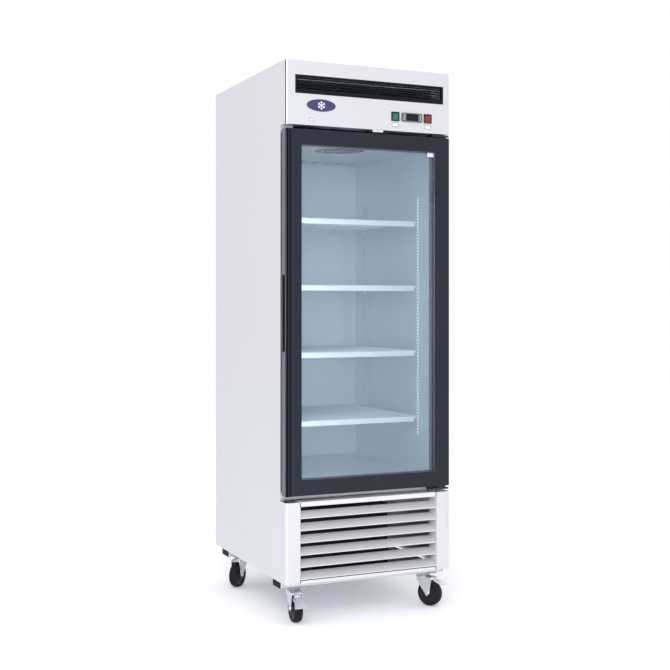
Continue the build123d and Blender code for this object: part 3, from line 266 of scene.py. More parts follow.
def brushed_sheet(name, colour, roughness, stretch, cloud, metal):
    """Brushed stainless sheet: fine lines along one direction, slow clouds in its tone,
    and soft handling marks in its gloss."""
    sheet = bpy.data.materials.new(name)
    sheet.use_nodes = True
    nodes, links = sheet.node_tree.nodes, sheet.node_tree.links
    nodes.clear()
    point = nodes.new("ShaderNodeTexCoord")
    point.label = "Point on the sheet"
    along = nodes.new("ShaderNodeMapping")
    along.label = "Draw the grain out along the brushing"
    grain = nodes.new("ShaderNodeTexNoise")
    grain.label = "Brushed lines"
    gloss = nodes.new("ShaderNodeMapRange")
    gloss.label = "Lines change the gloss"
    groove = nodes.new("ShaderNodeBump")
    groove.label = "Depth of the lines"
    marks = nodes.new("ShaderNodeTexNoise")
    marks.label = "Handling marks"
    smear = nodes.new("ShaderNodeMapRange")
    smear.label = "Marks dull the gloss"
    both = nodes.new("ShaderNodeMath")
    both.label = "Lines and marks together"
    clouds = nodes.new("ShaderNodeTexNoise")
    clouds.label = "Slow clouds in the tone"
    tone = nodes.new("ShaderNodeMix")
    tone.label = "Sheet tone"
    skin = nodes.new("ShaderNodeBsdfPrincipled")
    skin.label = "Stainless sheet"
    out = nodes.new("ShaderNodeOutputMaterial")
    out.label = "Surface"
    brushing = nodes.new("NodeFrame")
    brushing.label = "Brushing"
    handling = nodes.new("NodeFrame")
    handling.label = "Handling"
    rolling = nodes.new("NodeFrame")
    rolling.label = "Rolled tone"
    for row, (effect, members) in enumerate((
            (brushing, (along, grain, gloss, groove)), (handling, (marks, smear, both)),
            (rolling, (clouds, tone)))):
        for column, member in enumerate(members):
            member.parent = effect
            member.location = (column * COLUMN, -row * ROW)
    point.location = (-COLUMN, 0)
    skin.location = (5 * COLUMN, 0)
    out.location = (7 * COLUMN, 0)
    along.inputs["Scale"].default_value = stretch
    grain.inputs["Scale"].default_value = 1.0
    grain.inputs["Detail"].default_value = 3.0
    gloss.inputs["To Min"].default_value = roughness - 0.05
    gloss.inputs["To Max"].default_value = roughness + 0.06
    groove.inputs["Strength"].default_value = 0.12
    groove.inputs["Distance"].default_value = 0.1 * MM
    marks.inputs["Scale"].default_value = 9.0
    marks.inputs["Detail"].default_value = 4.0
    smear.inputs["To Min"].default_value = -0.03
    smear.inputs["To Max"].default_value = 0.04
    both.operation = "ADD"
    clouds.inputs["Scale"].default_value = 2.2
    clouds.inputs["Detail"].default_value = 2.0
    tone.data_type = "RGBA"
    tone.inputs["A"].default_value = (*[part * (1 - cloud) for part in colour], 1)
    tone.inputs["B"].default_value = (*[min(1, part * (1 + cloud)) for part in colour], 1)
    skin.inputs["Metallic"].default_value = metal
    links.new(point.outputs["Object"], along.inputs["Vector"])
    links.new(along.outputs["Vector"], grain.inputs["Vector"])
    links.new(grain.outputs["Fac"], gloss.inputs["Value"])
    links.new(grain.outputs["Fac"], groove.inputs["Height"])
    links.new(point.outputs["Object"], marks.inputs["Vector"])
    links.new(marks.outputs["Fac"], smear.inputs["Value"])
    links.new(gloss.outputs["Result"], both.inputs[0])
    links.new(smear.outputs["Result"], both.inputs[1])
    links.new(both.outputs["Value"], skin.inputs["Roughness"])
    links.new(point.outputs["Object"], clouds.inputs["Vector"])
    links.new(clouds.outputs["Fac"], tone.inputs["Factor"])
    links.new(tone.outputs["Result"], skin.inputs["Base Color"])
    links.new(groove.outputs["Normal"], skin.inputs["Normal"])
    links.new(skin.outputs["BSDF"], out.inputs["Surface"])
    return sheet


def plated_steel(name, colour, roughness, spangle_size, spangle_depth):
    """Zinc-plated or galvanised steel: crystal patches of slightly different tone and gloss."""
    plated = bpy.data.materials.new(name)
    plated.use_nodes = True
    nodes, links = plated.node_tree.nodes, plated.node_tree.links
    nodes.clear()
    point = nodes.new("ShaderNodeTexCoord")
    point.label = "Point on the plating"
    crystals = nodes.new("ShaderNodeTexVoronoi")
    crystals.label = "Zinc crystals"
    shade = nodes.new("ShaderNodeSeparateColor")
    shade.label = "One shade per crystal"
    tone = nodes.new("ShaderNodeMix")
    tone.label = "Tone of the crystals"
    gloss = nodes.new("ShaderNodeMapRange")
    gloss.label = "Gloss of the crystals"
    pits = nodes.new("ShaderNodeTexNoise")
    pits.label = "Fine pits"
    relief = nodes.new("ShaderNodeBump")
    relief.label = "Depth of the pits"
    metal = nodes.new("ShaderNodeBsdfPrincipled")
    metal.label = "Plated steel"
    out = nodes.new("ShaderNodeOutputMaterial")
    out.label = "Surface"
    spangle = nodes.new("NodeFrame")
    spangle.label = "Spangle"
    texture = nodes.new("NodeFrame")
    texture.label = "Surface pits"
    for row, (effect, members) in enumerate((
            (spangle, (crystals, shade, tone, gloss)), (texture, (pits, relief)))):
        for column, member in enumerate(members):
            member.parent = effect
            member.location = (column * COLUMN, -row * ROW)
    point.location = (-COLUMN, 0)
    metal.location = (5 * COLUMN, 0)
    out.location = (7 * COLUMN, 0)
    crystals.inputs["Scale"].default_value = 1 / spangle_size
    tone.data_type = "RGBA"
    tone.inputs["A"].default_value = (*[part * (1 - spangle_depth) for part in colour], 1)
    tone.inputs["B"].default_value = (*colour, 1)
    gloss.inputs["To Min"].default_value = roughness - 0.08
    gloss.inputs["To Max"].default_value = roughness + 0.08
    pits.inputs["Scale"].default_value = 900.0
    relief.inputs["Strength"].default_value = 0.2
    relief.inputs["Distance"].default_value = 0.1 * MM
    metal.inputs["Metallic"].default_value = 1.0
    links.new(point.outputs["Object"], crystals.inputs["Vector"])
    links.new(crystals.outputs["Color"], shade.inputs["Color"])
    links.new(shade.outputs["Red"], tone.inputs["Factor"])
    links.new(shade.outputs["Green"], gloss.inputs["Value"])
    links.new(tone.outputs["Result"], metal.inputs["Base Color"])
    links.new(gloss.outputs["Result"], metal.inputs["Roughness"])
    links.new(point.outputs["Object"], pits.inputs["Vector"])
    links.new(pits.outputs["Fac"], relief.inputs["Height"])
    links.new(relief.outputs["Normal"], metal.inputs["Normal"])
    links.new(metal.outputs["BSDF"], out.inputs["Surface"])
    return plated


def moulded(name, colour, roughness, specular, grain_size, grain_depth):
    """Moulded plastic, rubber or baked paint: a fine grain in the surface, a slight bloom in
    the tone, and patches that differ a little in gloss."""
    plastic = bpy.data.materials.new(name)
    plastic.use_nodes = True
    nodes, links = plastic.node_tree.nodes, plastic.node_tree.links
    nodes.clear()
    point = nodes.new("ShaderNodeTexCoord")
    point.label = "Point on the moulding"
    grain = nodes.new("ShaderNodeTexNoise")
    grain.label = "Mould grain"
    relief = nodes.new("ShaderNodeBump")
    relief.label = "Depth of the grain"
    bloom = nodes.new("ShaderNodeTexNoise")
    bloom.label = "Slow bloom"
    tone = nodes.new("ShaderNodeMix")
    tone.label = "Tone with its bloom"
    gloss = nodes.new("ShaderNodeMapRange")
    gloss.label = "Bloom dulls the gloss"
    body = nodes.new("ShaderNodeBsdfPrincipled")
    body.label = "Moulding"
    out = nodes.new("ShaderNodeOutputMaterial")
    out.label = "Surface"
    texture = nodes.new("NodeFrame")
    texture.label = "Mould grain"
    ageing = nodes.new("NodeFrame")
    ageing.label = "Bloom"
    for row, (effect, members) in enumerate(((texture, (grain, relief)), (ageing, (bloom, tone, gloss)))):
        for column, member in enumerate(members):
            member.parent = effect
            member.location = (column * COLUMN, -row * ROW)
    point.location = (-COLUMN, 0)
    body.location = (4 * COLUMN, 0)
    out.location = (6 * COLUMN, 0)
    grain.inputs["Scale"].default_value = 1 / grain_size
    grain.inputs["Detail"].default_value = 2.0
    relief.inputs["Strength"].default_value = 0.5
    relief.inputs["Distance"].default_value = grain_depth
    bloom.inputs["Scale"].default_value = 14.0
    bloom.inputs["Detail"].default_value = 4.0
    tone.data_type = "RGBA"
    tone.inputs["A"].default_value = (*[part * 0.88 for part in colour], 1)
    tone.inputs["B"].default_value = (*[min(1, part * 1.10 + 0.001) for part in colour], 1)
    gloss.inputs["To Min"].default_value = max(0.02, roughness - 0.04)
    gloss.inputs["To Max"].default_value = min(1, roughness + 0.08)
    body.inputs["Specular IOR Level"].default_value = specular
    links.new(point.outputs["Object"], grain.inputs["Vector"])
    links.new(grain.outputs["Fac"], relief.inputs["Height"])
    links.new(relief.outputs["Normal"], body.inputs["Normal"])
    links.new(point.outputs["Object"], bloom.inputs["Vector"])
    links.new(bloom.outputs["Fac"], tone.inputs["Factor"])
    links.new(bloom.outputs["Fac"], gloss.inputs["Value"])
    links.new(tone.outputs["Result"], body.inputs["Base Color"])
    links.new(gloss.outputs["Result"], body.inputs["Roughness"])
    links.new(body.outputs["BSDF"], out.inputs["Surface"])
    return plastic


def door_moulding(name, face, side, split_y, painted_groove_shades):
    """Door profile: its front is a dark border, what lies deeper than split_y is grey, and each painted
    groove shade (centre X, half width) is a flush near-black, barely shining strip down the front: painted
    shade that stands for a deep groove."""
    moulding = bpy.data.materials.new(name)
    moulding.use_nodes = True
    nodes, links = moulding.node_tree.nodes, moulding.node_tree.links
    nodes.clear()
    point = nodes.new("ShaderNodeTexCoord")
    point.label = "Point on the door"
    split = nodes.new("ShaderNodeSeparateXYZ")
    split.label = "Depth and side of the point"
    deep = nodes.new("ShaderNodeMath")
    deep.label = "Behind the front border"
    bloom = nodes.new("ShaderNodeTexNoise")
    bloom.label = "Slow bloom"
    front_tone = nodes.new("ShaderNodeMix")
    front_tone.label = "Border tone"
    two_tone = nodes.new("ShaderNodeMix")
    two_tone.label = "Border or side"
    outer_painted_groove_shade = nodes.new("ShaderNodeMath")
    outer_painted_groove_shade.label = "In the outer painted_groove_shade"
    inner_painted_groove_shade = nodes.new("ShaderNodeMath")
    inner_painted_groove_shade.label = "In the inner painted_groove_shade"
    in_painted_groove_shade = nodes.new("ShaderNodeMath")
    in_painted_groove_shade.label = "In either painted_groove_shade"
    on_front = nodes.new("ShaderNodeMath")
    on_front.label = "Not behind the border"
    # rubber holds the painted groove shade share: 1 on the near-black strips of painted shade down the
    # front, where deep grooves would be
    rubber = nodes.new("ShaderNodeMath")
    rubber.label = "Painted_groove_shade share"
    # tone lays the painted groove shade colour over the profile
    tone = nodes.new("ShaderNodeMix")
    tone.label = "Rubber or profile"
    shine = nodes.new("ShaderNodeMapRange")
    shine.label = "Seals barely shine"
    gloss = nodes.new("ShaderNodeMapRange")
    gloss.label = "Bloom dulls the gloss"
    grain = nodes.new("ShaderNodeTexNoise")
    grain.label = "Fine grain"
    relief = nodes.new("ShaderNodeBump")
    relief.label = "Depth of the grain"
    body = nodes.new("ShaderNodeBsdfPrincipled")
    body.label = "Door profile"
    out = nodes.new("ShaderNodeOutputMaterial")
    out.label = "Surface"
    colouring = nodes.new("NodeFrame")
    colouring.label = "Border and sides"
    painted_groove_shading = nodes.new("NodeFrame")
    painted_groove_shading.label = "Painted_groove_shades"
    texture = nodes.new("NodeFrame")
    texture.label = "Grain and gloss"
    for row, (effect, members) in enumerate((
            (colouring, (split, deep, bloom, front_tone, two_tone, tone)),
            (painted_groove_shading, (outer_painted_groove_shade, inner_painted_groove_shade, in_painted_groove_shade, on_front, rubber, shine)),
            (texture, (grain, relief, gloss)))):
        for column, member in enumerate(members):
            member.parent = effect
            member.location = (column * COLUMN, -row * ROW)
    point.location = (-COLUMN, 0)
    body.location = (7 * COLUMN, 0)
    out.location = (9 * COLUMN, 0)
    deep.operation = "GREATER_THAN"
    deep.inputs[1].default_value = split_y
    bloom.inputs["Scale"].default_value = 6.0
    bloom.inputs["Detail"].default_value = 3.0
    front_tone.data_type = "RGBA"
    front_tone.inputs["A"].default_value = (*[part * 0.85 for part in face], 1)
    front_tone.inputs["B"].default_value = (*[part * 1.15 for part in face], 1)
    two_tone.data_type = "RGBA"
    two_tone.inputs["B"].default_value = (*side, 1)
    outer_painted_groove_shade.operation = "COMPARE"
    outer_painted_groove_shade.inputs[1].default_value = painted_groove_shades[0][0]
    outer_painted_groove_shade.inputs[2].default_value = painted_groove_shades[0][1]
    inner_painted_groove_shade.operation = "COMPARE"
    inner_painted_groove_shade.inputs[1].default_value = painted_groove_shades[1][0]
    inner_painted_groove_shade.inputs[2].default_value = painted_groove_shades[1][1]
    in_painted_groove_shade.operation = "MAXIMUM"
    on_front.operation = "SUBTRACT"
    on_front.inputs[0].default_value = 1.0
    rubber.operation = "MULTIPLY"
    tone.data_type = "RGBA"
    # near-black painted shade colour of the groove strips
    tone.inputs["B"].default_value = (0.003, 0.003, 0.005, 1)
    # the painted groove shade strips barely shine, which darkens them further as part of the painted shade
    shine.inputs["To Min"].default_value = 0.30
    shine.inputs["To Max"].default_value = 0.04
    gloss.inputs["To Min"].default_value = 0.24
    gloss.inputs["To Max"].default_value = 0.34
    grain.inputs["Scale"].default_value = 1500.0
    relief.inputs["Strength"].default_value = 0.3
    relief.inputs["Distance"].default_value = 0.01 * MM
    links.new(point.outputs["Object"], split.inputs["Vector"])
    links.new(split.outputs["Y"], deep.inputs[0])
    links.new(point.outputs["Object"], bloom.inputs["Vector"])
    links.new(bloom.outputs["Fac"], front_tone.inputs["Factor"])
    links.new(front_tone.outputs["Result"], two_tone.inputs["A"])
    links.new(deep.outputs["Value"], two_tone.inputs["Factor"])
    links.new(split.outputs["X"], outer_painted_groove_shade.inputs[0])
    links.new(split.outputs["X"], inner_painted_groove_shade.inputs[0])
    links.new(outer_painted_groove_shade.outputs["Value"], in_painted_groove_shade.inputs[0])
    links.new(inner_painted_groove_shade.outputs["Value"], in_painted_groove_shade.inputs[1])
    links.new(deep.outputs["Value"], on_front.inputs[1])
    links.new(in_painted_groove_shade.outputs["Value"], rubber.inputs[0])
    links.new(on_front.outputs["Value"], rubber.inputs[1])
    links.new(two_tone.outputs["Result"], tone.inputs["A"])
    links.new(rubber.outputs["Value"], tone.inputs["Factor"])
    links.new(rubber.outputs["Value"], shine.inputs["Value"])
    links.new(bloom.outputs["Fac"], gloss.inputs["Value"])
    links.new(point.outputs["Object"], grain.inputs["Vector"])
    links.new(grain.outputs["Fac"], relief.inputs["Height"])
    links.new(tone.outputs["Result"], body.inputs["Base Color"])
    links.new(shine.outputs["Result"], body.inputs["Specular IOR Level"])
    links.new(gloss.outputs["Result"], body.inputs["Roughness"])
    links.new(relief.outputs["Normal"], body.inputs["Normal"])
    links.new(body.outputs["BSDF"], out.inputs["Surface"])
    return moulding


def coated_glass(name, tint, reflection, haze):
    """Clear door glass: it lets light through with a tint, mirrors more at a slant,
    and carries a thin pale haze on its outward faces."""
    glass = bpy.data.materials.new(name)
    glass.use_nodes = True
    nodes, links = glass.node_tree.nodes, glass.node_tree.links
    nodes.clear()
    point = nodes.new("ShaderNodeTexCoord")
    point.label = "Point on the pane"
    side = nodes.new("ShaderNodeNewGeometry")
    side.label = "Which face of the pane"
    outward = nodes.new("ShaderNodeMath")
    outward.label = "1 on faces that look outwards"
    slant = nodes.new("ShaderNodeFresnel")
    slant.label = "More mirror at a slant"
    mirror_share = nodes.new("ShaderNodeMath")
    mirror_share.label = "Mirror on outward faces only"
    film = nodes.new("ShaderNodeTexNoise")
    film.label = "Uneven film"
    film_share = nodes.new("ShaderNodeMapRange")
    film_share.label = "How much haze"
    haze_share = nodes.new("ShaderNodeMath")
    haze_share.label = "Haze on outward faces only"
    clear = nodes.new("ShaderNodeBsdfTransparent")
    clear.label = "Tinted clear glass"
    veil = nodes.new("ShaderNodeBsdfDiffuse")
    veil.label = "Pale film"
    mirror = nodes.new("ShaderNodeBsdfGlossy")
    mirror.label = "Mirrored room"
    hazed = nodes.new("ShaderNodeMixShader")
    hazed.label = "Glass with its film"
    mirrored = nodes.new("ShaderNodeMixShader")
    mirrored.label = "Glass with its mirror"
    out = nodes.new("ShaderNodeOutputMaterial")
    out.label = "Surface"
    mirroring = nodes.new("NodeFrame")
    mirroring.label = "Mirroring"
    filming = nodes.new("NodeFrame")
    filming.label = "Film"
    for row, (effect, members) in enumerate((
            (mirroring, (side, outward, slant, mirror_share, mirror, mirrored)),
            (filming, (film, film_share, haze_share, clear, veil, hazed)))):
        for column, member in enumerate(members):
            member.parent = effect
            member.location = (column * COLUMN, -row * ROW)
    point.location = (-COLUMN, -ROW)
    out.location = (7 * COLUMN, 0)
    outward.operation = "SUBTRACT"
    outward.inputs[0].default_value = 1.0
    slant.inputs["IOR"].default_value = reflection
    mirror_share.operation = "MULTIPLY"
    film.inputs["Scale"].default_value = 3.0
    film.inputs["Detail"].default_value = 3.0
    film_share.inputs["To Min"].default_value = haze * 0.8
    film_share.inputs["To Max"].default_value = haze * 1.2
    haze_share.operation = "MULTIPLY"
    clear.inputs["Color"].default_value = (*tint, 1)
    veil.inputs["Color"].default_value = (0.80, 0.88, 0.97, 1)
    mirror.inputs["Color"].default_value = (0.88, 0.94, 1.0, 1)
    mirror.inputs["Roughness"].default_value = 0.03
    links.new(side.outputs["Backfacing"], outward.inputs[1])
    links.new(slant.outputs["Fac"], mirror_share.inputs[0])
    links.new(outward.outputs["Value"], mirror_share.inputs[1])
    links.new(point.outputs["Object"], film.inputs["Vector"])
    links.new(film.outputs["Fac"], film_share.inputs["Value"])
    links.new(film_share.outputs["Result"], haze_share.inputs[0])
    links.new(outward.outputs["Value"], haze_share.inputs[1])
    links.new(haze_share.outputs["Value"], hazed.inputs["Fac"])
    links.new(clear.outputs["BSDF"], hazed.inputs[1])
    links.new(veil.outputs["BSDF"], hazed.inputs[2])
    links.new(mirror_share.outputs["Value"], mirrored.inputs["Fac"])
    links.new(hazed.outputs["Shader"], mirrored.inputs[1])
    links.new(mirror.outputs["BSDF"], mirrored.inputs[2])
    links.new(mirrored.outputs["Shader"], out.inputs["Surface"])
    return glass


def light_strip(name, colour, strength, pitch):
    """Frosted lens over a row of small lamps: it glows, a little brighter over each lamp."""
    lens = bpy.data.materials.new(name)
    lens.use_nodes = True
    nodes, links = lens.node_tree.nodes, lens.node_tree.links
    nodes.clear()
    point = nodes.new("ShaderNodeTexCoord")
    point.label = "Point on the lens"
    lamps = nodes.new("ShaderNodeTexWave")
    lamps.label = "Row of lamps"
    level = nodes.new("ShaderNodeMapRange")
    level.label = "Brighter over each lamp"
    body = nodes.new("ShaderNodeBsdfPrincipled")
    body.label = "Frosted lens"
    out = nodes.new("ShaderNodeOutputMaterial")
    out.label = "Surface"
    glow = nodes.new("NodeFrame")
    glow.label = "Glow"
    for column, member in enumerate((lamps, level)):
        member.parent = glow
        member.location = (column * COLUMN, 0)
    point.location = (-COLUMN, 0)
    body.location = (3 * COLUMN, 0)
    out.location = (5 * COLUMN, 0)
    lamps.bands_direction = "Z"
    lamps.inputs["Scale"].default_value = 0.314 / pitch
    level.inputs["To Min"].default_value = strength * 0.8
    level.inputs["To Max"].default_value = strength * 1.2
    body.inputs["Base Color"].default_value = (*colour, 1)
    body.inputs["Roughness"].default_value = 0.45
    body.inputs["Emission Color"].default_value = (*colour, 1)
    links.new(point.outputs["Object"], lamps.inputs["Vector"])
    links.new(lamps.outputs["Fac"], level.inputs["Value"])
    links.new(level.outputs["Result"], body.inputs["Emission Strength"])
    links.new(body.outputs["BSDF"], out.inputs["Surface"])
    return lens


def two_tone_badge(name, field, relief_colour, face_y):
    """Enamelled badge: the field has one colour, and what stands in front of it another,
    split where the point's Y passes the plate's face."""
    badge = bpy.data.materials.new(name)
    badge.use_nodes = True
    nodes, links = badge.node_tree.nodes, badge.node_tree.links
    nodes.clear()
    point = nodes.new("ShaderNodeTexCoord")
    point.label = "Point on the badge"
    split = nodes.new("ShaderNodeSeparateXYZ")
    split.label = "Depth of the point"
    raised = nodes.new("ShaderNodeMath")
    raised.label = "In front of the plate's face"
    flakes = nodes.new("ShaderNodeTexNoise")
    flakes.label = "Enamel depth"
    enamel = nodes.new("ShaderNodeMix")
    enamel.label = "Enamel tone"
    tone = nodes.new("ShaderNodeMix")
    tone.label = "Field or relief"
    body = nodes.new("ShaderNodeBsdfPrincipled")
    body.label = "Enamel"
    out = nodes.new("ShaderNodeOutputMaterial")
    out.label = "Surface"
    relief = nodes.new("NodeFrame")
    relief.label = "Relief"
    depth = nodes.new("NodeFrame")
    depth.label = "Enamel"
    for row, (effect, members) in enumerate(((relief, (split, raised, tone)), (depth, (flakes, enamel)))):
        for column, member in enumerate(members):
            member.parent = effect
            member.location = (column * COLUMN, -row * ROW)
    point.location = (-COLUMN, 0)
    body.location = (4 * COLUMN, 0)
    out.location = (6 * COLUMN, 0)
    raised.operation = "LESS_THAN"
    raised.inputs[1].default_value = face_y
    flakes.inputs["Scale"].default_value = 120.0
    enamel.data_type = "RGBA"
    enamel.inputs["A"].default_value = (*[part * 0.9 for part in field], 1)
    enamel.inputs["B"].default_value = (*[part * 1.15 for part in field], 1)
    tone.data_type = "RGBA"
    tone.inputs["B"].default_value = (*relief_colour, 1)
    body.inputs["Roughness"].default_value = 0.22
    body.inputs["Coat Weight"].default_value = 0.4
    links.new(point.outputs["Object"], split.inputs["Vector"])
    links.new(split.outputs["Y"], raised.inputs[0])
    links.new(point.outputs["Object"], flakes.inputs["Vector"])
    links.new(flakes.outputs["Fac"], enamel.inputs["Factor"])
    links.new(enamel.outputs["Result"], tone.inputs["A"])
    links.new(raised.outputs["Value"], tone.inputs["Factor"])
    links.new(tone.outputs["Result"], body.inputs["Base Color"])
    links.new(body.outputs["BSDF"], out.inputs["Surface"])
    return badge


def slotted_standard(name, colour, pitch, slot_high):
    """Coated shelf standard: a row of slots, one each pitch along Z, painted dark grey as painted shade
    for the holes, over a pale coating.
    """
    standard = bpy.data.materials.new(name)
    standard.use_nodes = True
    nodes, links = standard.node_tree.nodes, standard.node_tree.links
    nodes.clear()
    point = nodes.new("ShaderNodeTexCoord")
    point.label = "Point on the standard"
    split = nodes.new("ShaderNodeSeparateXYZ")
    split.label = "Height of the point"
    step = nodes.new("ShaderNodeMath")
    step.label = "Height within one pitch"
    slot = nodes.new("ShaderNodeMath")
    slot.label = "1 in a slot"
    mottle = nodes.new("ShaderNodeTexNoise")
    mottle.label = "Coating mottle"
    coat = nodes.new("ShaderNodeMix")
    coat.label = "Coating tone"
    tone = nodes.new("ShaderNodeMix")
    tone.label = "Slot or coating"
    body = nodes.new("ShaderNodeBsdfPrincipled")
    body.label = "Coated steel"
    out = nodes.new("ShaderNodeOutputMaterial")
    out.label = "Surface"
    slots = nodes.new("NodeFrame")
    slots.label = "Slots"
    coating = nodes.new("NodeFrame")
    coating.label = "Coating"
    for row, (effect, members) in enumerate((
            (slots, (split, step, slot, tone)), (coating, (mottle, coat)))):
        for column, member in enumerate(members):
            member.parent = effect
            member.location = (column * COLUMN, -row * ROW)
    point.location = (-COLUMN, 0)
    body.location = (5 * COLUMN, 0)
    out.location = (7 * COLUMN, 0)
    step.operation = "FLOORED_MODULO"
    step.inputs[1].default_value = pitch
    slot.operation = "LESS_THAN"
    slot.inputs[1].default_value = slot_high
    mottle.inputs["Scale"].default_value = 60.0
    coat.data_type = "RGBA"
    coat.inputs["A"].default_value = (*[part * 0.94 for part in colour], 1)
    coat.inputs["B"].default_value = (*colour, 1)
    tone.data_type = "RGBA"
    # painted shade: the dark grey that stands for the shade inside each slot
    tone.inputs["B"].default_value = (0.30, 0.33, 0.35, 1)
    body.inputs["Roughness"].default_value = 0.4
    links.new(point.outputs["Object"], split.inputs["Vector"])
    links.new(split.outputs["Z"], step.inputs[0])
    links.new(step.outputs["Value"], slot.inputs[0])
    links.new(point.outputs["Object"], mottle.inputs["Vector"])
    links.new(mottle.outputs["Fac"], coat.inputs["Factor"])
    links.new(coat.outputs["Result"], tone.inputs["A"])
    links.new(slot.outputs["Value"], tone.inputs["Factor"])
    links.new(tone.outputs["Result"], body.inputs["Base Color"])
    links.new(body.outputs["BSDF"], out.inputs["Surface"])
    return standard


def rigid_foam(name, colour):
    """Foamed-in insulation: small round cells that dimple the surface and mottle its tone."""
    foam = bpy.data.materials.new(name)
    foam.use_nodes = True
    nodes, links = foam.node_tree.nodes, foam.node_tree.links
    nodes.clear()
    point = nodes.new("ShaderNodeTexCoord")
    point.label = "Point on the foam"
    cells = nodes.new("ShaderNodeTexVoronoi")
    cells.label = "Foam cells"
    tone = nodes.new("ShaderNodeMix")
    tone.label = "Cell tone"
    dimple = nodes.new("ShaderNodeBump")
    dimple.label = "Dimple of each cell"
    body = nodes.new("ShaderNodeBsdfPrincipled")
    body.label = "Foam"
    out = nodes.new("ShaderNodeOutputMaterial")
    out.label = "Surface"
    cell = nodes.new("NodeFrame")
    cell.label = "Cells"
    for column, member in enumerate((cells, tone, dimple)):
        member.parent = cell
        member.location = (column * COLUMN, 0)
    point.location = (-COLUMN, 0)
    body.location = (4 * COLUMN, 0)
    out.location = (6 * COLUMN, 0)
    cells.inputs["Scale"].default_value = 400.0
    tone.data_type = "RGBA"
    tone.inputs["A"].default_value = (*colour, 1)
    tone.inputs["B"].default_value = (*[part * 0.75 for part in colour], 1)
    dimple.inputs["Strength"].default_value = 0.6
    dimple.inputs["Distance"].default_value = 0.5 * MM
    body.inputs["Roughness"].default_value = 0.95
    links.new(point.outputs["Object"], cells.inputs["Vector"])
    links.new(cells.outputs["Distance"], tone.inputs["Factor"])
    links.new(cells.outputs["Distance"], dimple.inputs["Height"])
    links.new(tone.outputs["Result"], body.inputs["Base Color"])
    links.new(dimple.outputs["Normal"], body.inputs["Normal"])
    links.new(body.outputs["BSDF"], out.inputs["Surface"])
    return foam


def dark_display(name, colour, cell_size):
    """Unlit display window: smoked glass with a faint grid of cells behind it."""
    display = bpy.data.materials.new(name)
    display.use_nodes = True
    nodes, links = display.node_tree.nodes, display.node_tree.links
    nodes.clear()
    point = nodes.new("ShaderNodeTexCoord")
    point.label = "Point on the window"
    upright = nodes.new("ShaderNodeMapping")
    upright.label = "Lay the grid upright"
    grid = nodes.new("ShaderNodeTexBrick")
    grid.label = "Cells behind the window"
    body = nodes.new("ShaderNodeBsdfPrincipled")
    body.label = "Smoked window"
    out = nodes.new("ShaderNodeOutputMaterial")
    out.label = "Surface"
    cells = nodes.new("NodeFrame")
    cells.label = "Cells"
    for column, member in enumerate((upright, grid)):
        member.parent = cells
        member.location = (column * COLUMN, 0)
    point.location = (-COLUMN, 0)
    body.location = (3 * COLUMN, 0)
    out.location = (5 * COLUMN, 0)
    upright.inputs["Rotation"].default_value = (radians(90), 0, 0)
    grid.offset = 0.0
    grid.inputs["Scale"].default_value = 1 / cell_size
    grid.inputs["Brick Width"].default_value = 1.0
    grid.inputs["Row Height"].default_value = 1.0
    grid.inputs["Mortar Size"].default_value = 0.06
    grid.inputs["Color1"].default_value = (*colour, 1)
    grid.inputs["Color2"].default_value = (*[part * 1.1 for part in colour], 1)
    grid.inputs["Mortar"].default_value = (*[part * 0.7 for part in colour], 1)
    body.inputs["Roughness"].default_value = 0.3
    body.inputs["Specular IOR Level"].default_value = 0.15
    links.new(point.outputs["Object"], upright.inputs["Vector"])
    links.new(upright.outputs["Vector"], grid.inputs["Vector"])
    links.new(grid.outputs["Color"], body.inputs["Base Color"])
    links.new(body.outputs["BSDF"], out.inputs["Surface"])
    return display


def studio_floor(name, colour, glow):
    """Pale seamless floor: matt white that is also faintly lit from below, so its shadows stay soft."""
    floor = bpy.data.materials.new(name)
    floor.use_nodes = True
    nodes, links = floor.node_tree.nodes, floor.node_tree.links
    nodes.clear()
    point = nodes.new("ShaderNodeTexCoord")
    point.label = "Point on the floor"
    scuff = nodes.new("ShaderNodeTexNoise")
    scuff.label = "Very faint unevenness"
    tone = nodes.new("ShaderNodeMix")
    tone.label = "Floor tone"
    matt = nodes.new("ShaderNodeBsdfDiffuse")
    matt.label = "Matt white"
    lit = nodes.new("ShaderNodeEmission")
    lit.label = "Lit from below"
    both = nodes.new("ShaderNodeAddShader")
    both.label = "Matt and lit"
    out = nodes.new("ShaderNodeOutputMaterial")
    out.label = "Surface"
    unevenness = nodes.new("NodeFrame")
    unevenness.label = "Unevenness"
    for column, member in enumerate((scuff, tone)):
        member.parent = unevenness
        member.location = (column * COLUMN, 0)
    point.location = (-COLUMN, 0)
    matt.location = (3 * COLUMN, 0)
    lit.location = (3 * COLUMN, -ROW)
    both.location = (4 * COLUMN, 0)
    out.location = (5 * COLUMN, 0)
    scuff.inputs["Scale"].default_value = 0.8
    tone.data_type = "RGBA"
    tone.inputs["A"].default_value = (*[part * 0.99 for part in colour], 1)
    tone.inputs["B"].default_value = (*colour, 1)
    lit.inputs["Color"].default_value = (*glow, 1)
    links.new(point.outputs["Object"], scuff.inputs["Vector"])
    links.new(scuff.outputs["Fac"], tone.inputs["Factor"])
    links.new(tone.outputs["Result"], matt.inputs["Color"])
    links.new(matt.outputs["BSDF"], both.inputs[0])
    links.new(lit.outputs["Emission"], both.inputs[1])
    links.new(both.outputs["Shader"], out.inputs["Surface"])
    return floor


# ---------------------------------------------------------------- operators

ALONG_X = (5, 800, 800)
ALONG_Z = (800, 800, 5)


